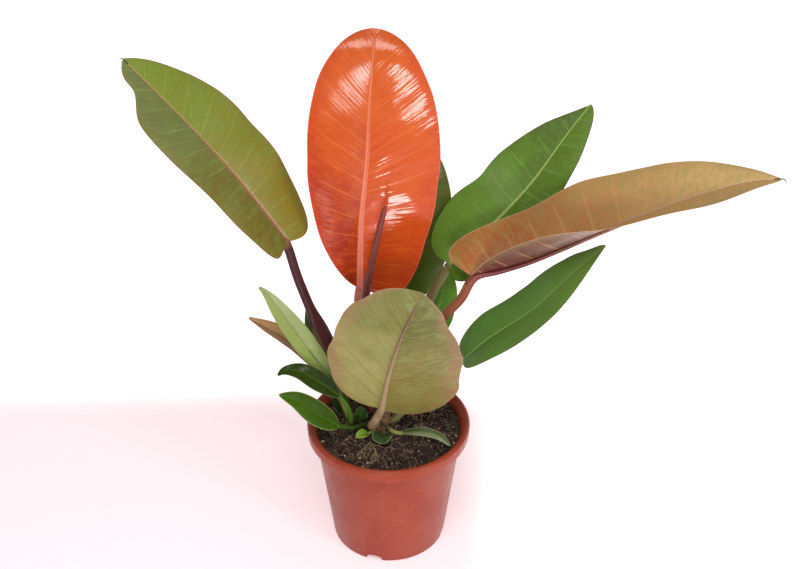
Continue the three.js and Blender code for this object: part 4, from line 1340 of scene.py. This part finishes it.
def rounded(outline, steps=5):
    """Radius and height rows of an outline, with every corner cut back by its round and bridged by a curve.

    A bridge runs from a to b, which lie that far before and after the corner c. Its points are
    (1 - t)^2 a + 2 t (1 - t) c + t^2 b.
    """
    corners = np.array(outline, float)
    places, cut = corners[:, :2], corners[1:-1, 2:]
    here = places[1:-1]
    start = here + unit(places[:-2] - here) * cut
    end = here + unit(places[2:] - here) * cut
    t = np.linspace(0, 1, steps)[:, None, None]
    bridge = (1 - t) ** 2 * start + 2 * t * (1 - t) * here + t**2 * end
    return np.vstack([places[:1], bridge.transpose(1, 0, 2).reshape(-1, 2), places[-1:]])


def turned(outline, sides, at=(0, 0)):
    """Rings of an outline of radius and height rows, turned round an upright axis at a place."""
    angle = 2 * np.pi * np.arange(sides) / sides
    radius, height = outline[:, :1], outline[:, 1:]
    x = at[0] + radius * np.cos(angle)
    y = at[1] + radius * np.sin(angle)
    return np.stack([x, y, height + 0 * angle], -1)


# Each corner's radius, height and round, from the middle of the underside to the middle of the floor.
POT_OUTLINE = [
    (0.5, 0, 0),
    (CENTRE_PAD_RADIUS, 0, 0.8),
    (CENTRE_PAD_RADIUS + 4, FOOT_RECESS, 1.2),
    (FOOT_RADIUS - FOOT_RING_WIDTH - 3, FOOT_RECESS, 1.2),
    (FOOT_RADIUS - FOOT_RING_WIDTH, 0, 0.8),
    (FOOT_RADIUS, 0, 1.3),
    (wall_radius(SKIRT - 4), SKIRT - 4, 1),
    (WALL_TOP_RADIUS, WALL_TOP, 1.5),
    (WALL_TOP_RADIUS + 2, POT_HEIGHT - 4, 0.8),
    (RIM_RADIUS - POT_WALL - 0.6, POT_HEIGHT - 4.6, 1),
    (RIM_RADIUS - POT_WALL, SKIRT, 0.5),
    (RIM_RADIUS - 0.4, SKIRT, 0.5),
    (RIM_RADIUS, POT_HEIGHT - 2.6, 1),
    (RIM_RADIUS - 2.2, POT_HEIGHT, 1.4),
    (WALL_TOP_RADIUS + 3, POT_HEIGHT, 1),
    (wall_radius(POT_HEIGHT - 7) - POT_WALL, POT_HEIGHT - 5, 2),
    (wall_radius(POT_FLOOR + 3) - POT_WALL, POT_FLOOR + 3, 2),
    (wall_radius(POT_FLOOR) - POT_WALL - 3, POT_FLOOR, 1),
    (0.5, POT_FLOOR, 0),
]
print("corners of the pot's profile:", len(POT_OUTLINE))

# %% Pot and its drain


def notch_tool(degrees):
    """An arched tunnel through the foot ring: a half ellipse on legs, carried outwards."""
    turn = np.linspace(0, np.pi, 13)
    across = np.concatenate([[NOTCH_WIDTH / 2], NOTCH_WIDTH / 2 * np.cos(turn), [-NOTCH_WIDTH / 2]])
    height = np.concatenate([[-2], NOTCH_HEIGHT * (0.35 + 0.65 * np.sin(turn)), [-2]])
    angle = np.radians(degrees)
    outward = np.array([np.cos(angle), np.sin(angle), 0])
    aside = np.array([-np.sin(angle), np.cos(angle), 0])
    reach = np.linspace(FOOT_RADIUS - FOOT_RING_WIDTH - 1.5, FOOT_RADIUS + 6, 3)[:, None, None]
    return reach * outward + across[:, None] * aside + height[:, None] * np.array([0, 0, 1])


def hole_tool(degrees):
    """An upright round bar through the pot's floor."""
    angle = np.radians(degrees)
    at = (DRAIN_HOLE_CIRCLE * np.cos(angle), DRAIN_HOLE_CIRCLE * np.sin(angle))
    return turned(np.array([(DRAIN_HOLE_RADIUS, 2), (DRAIN_HOLE_RADIUS, 16)]), 28, at)


def pot_finish():
    """Moulded plastic: a satin terracotta, brighter at the rim, with a fine grain, dust, scuffs and a
    painted shade along the foot.
    """
    recipe = Recipe("terracotta_plastic", coat=0.2, coat_roughness=0.35, specular=0.15)
    place = recipe.place()
    _, _, height = recipe.split(place)
    cloud = recipe.noise(place, 45, 3)
    wall = recipe.blend(recipe.fade(cloud, 0.35, 0.65), "8c3624", "94402c")
    rim = recipe.blend(recipe.fade(cloud, 0.35, 0.65), "903821", "983f28")
    skin = recipe.blend(recipe.fade(height, SKIRT - 1.5, SKIRT + 1), wall, rim)
    dust = recipe.noise(place, 14, 5, 0.65, scales=(1, 1, 0.5))
    skin = recipe.over(skin, "cf8c78", dust, 0.55, 0.8, 0, 0.12)
    scuff = recipe.noise(place, 5.5, 2, 0.6, scales=(1, 1, 1.6))
    skin = recipe.over(skin, "dfae9c", scuff, 0.71, 0.76, 0, 0.5)
    # Painted shade: a darker band along the foot, where the pot meets the floor.
    skin = recipe.over(skin, "7f3c2e", height, 0.5, 5, 0.6, 0)
    grain = recipe.noise(place, 0.8, 3, 0.6)
    shine = recipe.fade(dust, 0.3, 0.75, 0.3, 0.5)
    return recipe.finish(skin, height=grain, depth=0.05, strength=0.5, roughness=shine)


def drilled(piece, tool):
    """The piece with the tool's volume cut away for good, and the tool gone."""
    cut = piece.modifiers.new("drain", "BOOLEAN")
    cut.object = tool
    cut.operation = "DIFFERENCE"
    cut.solver = "EXACT"
    graph = bpy.context.evaluated_depsgraph_get()
    mesh = bpy.data.meshes.new_from_object(piece.evaluated_get(graph))
    piece.modifiers.clear()
    piece.data = mesh
    mesh.set_sharp_from_angle(angle=PLASTIC_SHARP_ANGLE)
    bpy.data.objects.remove(tool)
    return piece


pot_skin = pot_finish()
pot = piece_of("nursery_pot", [(turned(rounded(POT_OUTLINE), POT_SIDES), {})], pot_skin, "pot")
tools = [notch_tool(degrees) for degrees in NOTCH_DEGREES]
tools += [hole_tool(degrees + 45) for degrees in NOTCH_DEGREES]
drilled(pot, linked(mesh_of("drill", [(rings, {}) for rings in tools]), "drill"))
print("pot: %d triangles" % triangles_of(pot))

# %% [markdown]
# ## The peat
# Moist peat is almost black, crumbly and full of fibres. Its surface is worth real geometry, because the
# camera looks into the pot. A polar grid follows the frame's low waves, with lumps of four sizes on them
# and a slight rise at the wall, where the peat was pushed up. A Displace modifier could do the same, but
# a lump function in numpy also tells later pieces how high the soil is.

# %% Soil surface
SOIL_TOP = 133
SOIL_RADIUS = wall_radius(SOIL_TOP) - POT_WALL - GAP
SOIL_FLOOR = POT_FLOOR + GAP
RIM_PUSH = 3
# Each lump's size across and height, in millimetres.
LUMPS = [(13, 1.1), (6, 1.3), (3.1, 1.4), (1.7, 0.8)]
LATTICE_SIDE = 96
LATTICE = np.random.default_rng(11).uniform(-1, 1, (LATTICE_SIDE, LATTICE_SIDE))


def lumps(x, y, size):
    """Smooth random heights from -1 to 1: values on a square lattice, eased between by 3 t^2 - 2 t^3."""
    places = [value / size + 1000 for value in (x, y)]
    corner = [np.floor(value).astype(int) for value in places]
    part = [value - low for value, low in zip(places, corner)]
    ease = [smooth_step(t, 0, 1) for t in part]
    cell = [[(low + n) % LATTICE_SIDE for n in (0, 1)] for low in corner]
    cells = [[LATTICE[i, j] for j in cell[1]] for i in cell[0]]
    return mix(mix(cells[0][0], cells[0][1], ease[1]), mix(cells[1][0], cells[1][1], ease[1]), ease[0])


def soil_height(x, y):
    """The peat's height: the frame's three waves and the lumps fade as the peat rises at the wall."""
    out = np.hypot(x, y) / WALL_TOP_RADIUS
    waves = 1.3 * np.sin(x / 9 + 1) * np.cos(y / 11) + np.sin(x / 4.3 + y / 5.1)
    waves = waves + 0.9 * np.cos(x / 3.1 - y / 3.7 + 2) + 1.5
    rough = sum(height * lumps(x, y, size) for size, height in LUMPS)
    return SOIL_TOP + (waves + rough) * (1 - out**6) + RIM_PUSH * out**6


AT_WALL = (WALL_TOP_RADIUS, 0)
print("peat: %.1f mm high in the middle, %.1f mm at the wall" % (soil_height(0, 0), soil_height(*AT_WALL)))

# %% Peat filling
PEAT_ROWS = 120
PEAT_SIDES = 300


def soil_rings(rows, sides):
    """Rings from the middle of the peat's surface out to the pot's wall, down it, and in under the peat."""
    radius = np.linspace(0.4, SOIL_RADIUS, rows)[:, None]
    angle = 2 * np.pi * np.arange(sides) / sides
    x, y = radius * np.cos(angle), radius * np.sin(angle)
    top = np.stack([x, y, soil_height(x, y)], -1)
    inside = [(wall_radius(z) - POT_WALL - GAP, z) for z in (90, 50, SOIL_FLOOR + 3)]
    below = turned(np.array(inside + [(wall_radius(SOIL_FLOOR) - 5, SOIL_FLOOR), (0.4, SOIL_FLOOR)]), sides)
    return np.concatenate([top, below])


def soil_finish():
    """Peat: dark tints in clouds, rust grains, tan specks and a strong crumbly bump."""
    recipe = Recipe("peat", roughness=0.92)
    place = recipe.place()
    cloud = recipe.noise(place, 9, 4, 0.65)
    base = recipe.blend(recipe.fade(cloud, 0.4, 0.6), "140b08", "3a2219")
    grains = recipe.noise(place, 1.9, 4, 0.7)
    base = recipe.over(base, "845a48", grains, 0.54, 0.64)
    specks = recipe.noise(place, 1.6)
    base = recipe.over(base, "b09a80", specks, 0.64, 0.7, 0, 0.9)
    height = recipe.noise(place, 2.8, 6, 0.75)
    return recipe.finish(base, height=height, depth=3.0)


soil = piece_of("peat_filling", [(soil_rings(PEAT_ROWS, PEAT_SIDES), {})], soil_finish(), "soil")
print("peat:", triangles_of(soil), "triangles")

# %% [markdown]
# ## Crumbs and fibres on the peat
# Loose crumbs, straws and a tuft of pale roots lie on the surface. Each crumb is a drum of three uneven
# rings with a few dozen faces, since there are hundreds. A straw or a root is a thin tube along a bent
# line. Every place, size and turn comes from a seeded random generator, so each run gives the same peat.

# %% Crumbs
CRUMBS = 1700
rng = np.random.default_rng(5)
crumb_radius = (SOIL_RADIUS - 2) * np.sqrt(rng.uniform(0, 1, CRUMBS))
crumb_angle = rng.uniform(0, 2 * np.pi, CRUMBS)
crumb_x, crumb_y = crumb_radius * np.cos(crumb_angle), crumb_radius * np.sin(crumb_angle)
crumb_size = 0.45 + 1.5 * rng.uniform(0, 1, CRUMBS) ** 3


def crumb(x, y, size):
    """Three rings of six points on an uneven ball, at a random turn, half sunk in the peat."""
    angle = 2 * np.pi * (np.arange(6) + rng.uniform(0, 1)) / 6
    ring = np.stack([np.cos(angle), np.sin(angle), 0 * angle], -1)
    ball = np.stack([0.55 * ring - (0, 0, 0.7), ring, 0.6 * ring + (0, 0, 0.65)])
    ball = ball * rng.uniform(0.75, 1.25, ball.shape[:2])[..., None] * rng.uniform(0.5, 1.2, 3)
    turn = np.linalg.qr(rng.normal(size=(3, 3)))[0]
    return ball @ turn * size + (x, y, float(soil_height(x, y)) + 0.3 * size)


parts = []
for x, y, size in zip(crumb_x, crumb_y, crumb_size):
    parts.append((crumb(x, y, size), {"crumb_tint": rng.uniform(0, 1, 3)}))

recipe = Recipe("peat_crumbs", roughness=0.9)
pick, shade, _ = recipe.split(recipe.attribute("crumb_tint"))
grain = recipe.noise(recipe.place(), 0.7, 3)
dark = recipe.blend(shade, "241915", "4f3a2e")
pale = recipe.blend(shade, "7b5c42", "c7b596")
crumb_tint = recipe.blend(recipe.fade(pick, 0.8, 0.86), dark, pale)
crumb_skin = recipe.finish(crumb_tint, height=grain, depth=0.3)
crumbs = piece_of("peat_crumbs", parts, crumb_skin, smooth=False)
print("crumbs:", CRUMBS, "with", triangles_of(crumbs), "triangles")

# %% Straws and roots
STRAWS = 560
TUFT_AT = (-20, -45)
TUFT_ROOTS = 28


def strand(x, y, heading, length, bend, radius, lift):
    """A thin tube along the peat: its heading turns by `bend`, and its middle stands up by `lift`."""
    t = np.linspace(0, 1, 8)
    turn = heading + bend * t
    steps = np.stack([np.cos(turn), np.sin(turn)], -1) * length / 7
    flat = np.cumsum(steps, axis=0) - steps.sum(axis=0) / 2 + (x, y)
    out = np.hypot(flat[:, 0], flat[:, 1])[:, None]
    flat = flat * np.minimum(1, (SOIL_RADIUS - 1.5) / out)
    height = soil_height(flat[:, 0], flat[:, 1]) + 0.4 + lift * np.sin(np.pi * t)
    track = np.column_stack([flat, height])
    return tube_rings(track, radius * (0.55 + 0.45 * np.sin(np.pi * t)), (0, 0, 1), 5)[0]


parts = []
for _ in range(STRAWS):
    away, spin = (SOIL_RADIUS - 4) * math.sqrt(rng.uniform(0, 1)), rng.uniform(0, 2 * np.pi)
    length, bend = rng.uniform(3, 13), rng.normal(0, 0.9)
    straw = strand(away * math.cos(spin), away * math.sin(spin), rng.uniform(0, 6.3), length, bend,
                   rng.uniform(0.12, 0.26), rng.uniform(0, 1.5))
    parts.append((straw, {"crumb_tint": rng.uniform(0, 0.8, 3)}))
for _ in range(TUFT_ROOTS):
    x, y = np.array(TUFT_AT) + rng.normal(0, (8, 8))
    root = strand(x, y, rng.uniform(-0.5, 2.0), rng.uniform(6, 20), rng.normal(0, 2.6),
                  rng.uniform(0.16, 0.3), rng.uniform(1, 4))
    parts.append((root, {"crumb_tint": (rng.uniform(0.8, 1.0), rng.uniform(0, 1), 0)}))

recipe = Recipe("straw_and_root", roughness=0.75)
pick, shade, _ = recipe.split(recipe.attribute("crumb_tint"))
grain = recipe.noise(recipe.place(), 0.9)
straw_tint = recipe.blend(shade, "3c2a20", "c4a88a")
root_tint = recipe.blend(recipe.times(shade, grain), "8c7550", "cbb68c")
strand_tint = recipe.blend(recipe.fade(pick, 0.8, 0.82), straw_tint, root_tint)
straw_skin = recipe.finish(strand_tint, height=grain, depth=0.2)
straws = piece_of("straws_and_roots", parts, straw_skin)
print("straws and roots:", len(parts), "with", triangles_of(straws), "triangles")

# %% [markdown]
# ## The stems
# Each old leaf leaves a ring on the short main stem, and brown papery scraps of its sheath. The stem is
# turned from the frame's outline, with softer corners and a rough skin. The scraps are thin curved sheets
# round it.

# %% Stems
STEM_AT = (-6, 3)
SIDE_STEM_AT = (-40, 2)
STEM_FOOT = 112.3
MAIN_STEM = [(0.4, STEM_FOOT, 0), (12, STEM_FOOT, 1), (12.5, 137, 1), (11.4, 140, 1), (11.8, 148, 1),
             (10.2, 151, 1), (10.4, 159, 1), (8.6, 162, 1), (8.4, 170, 0.8), (0.4, 171, 0)]
SIDE_STEM = [(0.4, STEM_FOOT, 0), (5, STEM_FOOT, 1), (5.2, 140, 0.8), (4.6, 142, 0.8), (4.4, 150, 0.8),
             (0.4, 151, 0)]


def stem_finish(name, low, high):
    """A stem's skin: it greens with height and carries rings, cracks and flecks."""
    recipe = Recipe(name, roughness=0.7)
    place = recipe.place()
    _, _, height = recipe.split(place)
    skin = recipe.blend(recipe.fade(height, 136, 160), low, high)
    crack = recipe.noise(place, 3, 4, 0.7, scales=(1, 1, 2.5))
    skin = recipe.over(skin, "3a2a20", crack, 0.5, 0.7, 0, 0.7)
    fleck = recipe.noise(place, 1.1, 1)
    skin = recipe.over(skin, "b39672", fleck, 0.64, 0.7, 0, 0.6)
    return recipe.finish(skin, height=crack, depth=0.6)


piece_of("ringed_main_stem", [(turned(rounded(MAIN_STEM), 48, STEM_AT), {})],
         stem_finish("main_stem_skin", "4a3527", "7a6240"), "main_stem")
piece_of("ringed_side_stem", [(turned(rounded(SIDE_STEM), 32, SIDE_STEM_AT), {})],
         stem_finish("side_stem_skin", "55502f", "66753c"), "side_stem")
print("stems from %.1f mm to %.0f mm" % (STEM_FOOT, MAIN_STEM[-1][1]))

# %% Sheath scraps


def sheath_scrap(at, radius, start, sweep, low, high, flare):
    """A thin pointed sheet round a stem: its rows rise less towards both sides and lean out with height."""
    v = np.linspace(0, 1, 12)[:, None]
    u = np.linspace(0, 1, 11)[None, :]
    angle = np.radians(start + sweep * u)
    height = low + (high - low) * v * (1 - 0.7 * np.abs(2 * u - 1) ** 2.2)
    away = radius + flare * v**2 + 0.5 * np.sin(5 * u + 3 * v)

    def face(shift):
        x = at[0] + (away + shift) * np.cos(angle)
        y = at[1] + (away + shift) * np.sin(angle)
        return np.stack([x, y, height], -1)

    return np.concatenate([face(0.2), face(-0.2)[:, ::-1]], axis=1)


# Each scrap's stem, radius, first angle and sweep in degrees, low and high end, and how far it leans out.
SCRAPS = [
    (STEM_AT, 12.8, 200, 95, 134, 152, 3.5),
    (STEM_AT, 12.6, 285, 80, 134, 147, 4.5),
    (STEM_AT, 11.5, 240, 70, 146, 160, 2.5),
    (STEM_AT, 12.9, 10, 100, 134, 150, 4.0),
    (STEM_AT, 10.6, 320, 75, 150, 166, 2.0),
    (SIDE_STEM_AT, 5.7, 210, 120, 134, 146, 2.0),
    (SIDE_STEM_AT, 5.5, 30, 110, 134, 144, 2.5),
]
recipe = Recipe("dry_sheath", roughness=0.7)
place = recipe.place()
vein = recipe.noise(place, 0.8, 3, 0.6, scales=(1, 1, 0.12))
blot = recipe.noise(place, 6, 3)
sheath_tint = recipe.blend(recipe.fade(vein, 0.4, 0.65), "5c3f2b", "a3805a")
sheath_tint = recipe.over(sheath_tint, "3b281d", blot, 0.45, 0.65, 0, 0.6)
sheath_skin = recipe.finish(sheath_tint, height=vein, depth=0.25)
scraps = piece_of("sheath_scraps", [(sheath_scrap(*scrap), {}) for scrap in SCRAPS], sheath_skin)
print("sheath scraps:", len(SCRAPS))

# %% [markdown] The finished plant has to keep the frame's size, or the part would lie about how much room it needs.
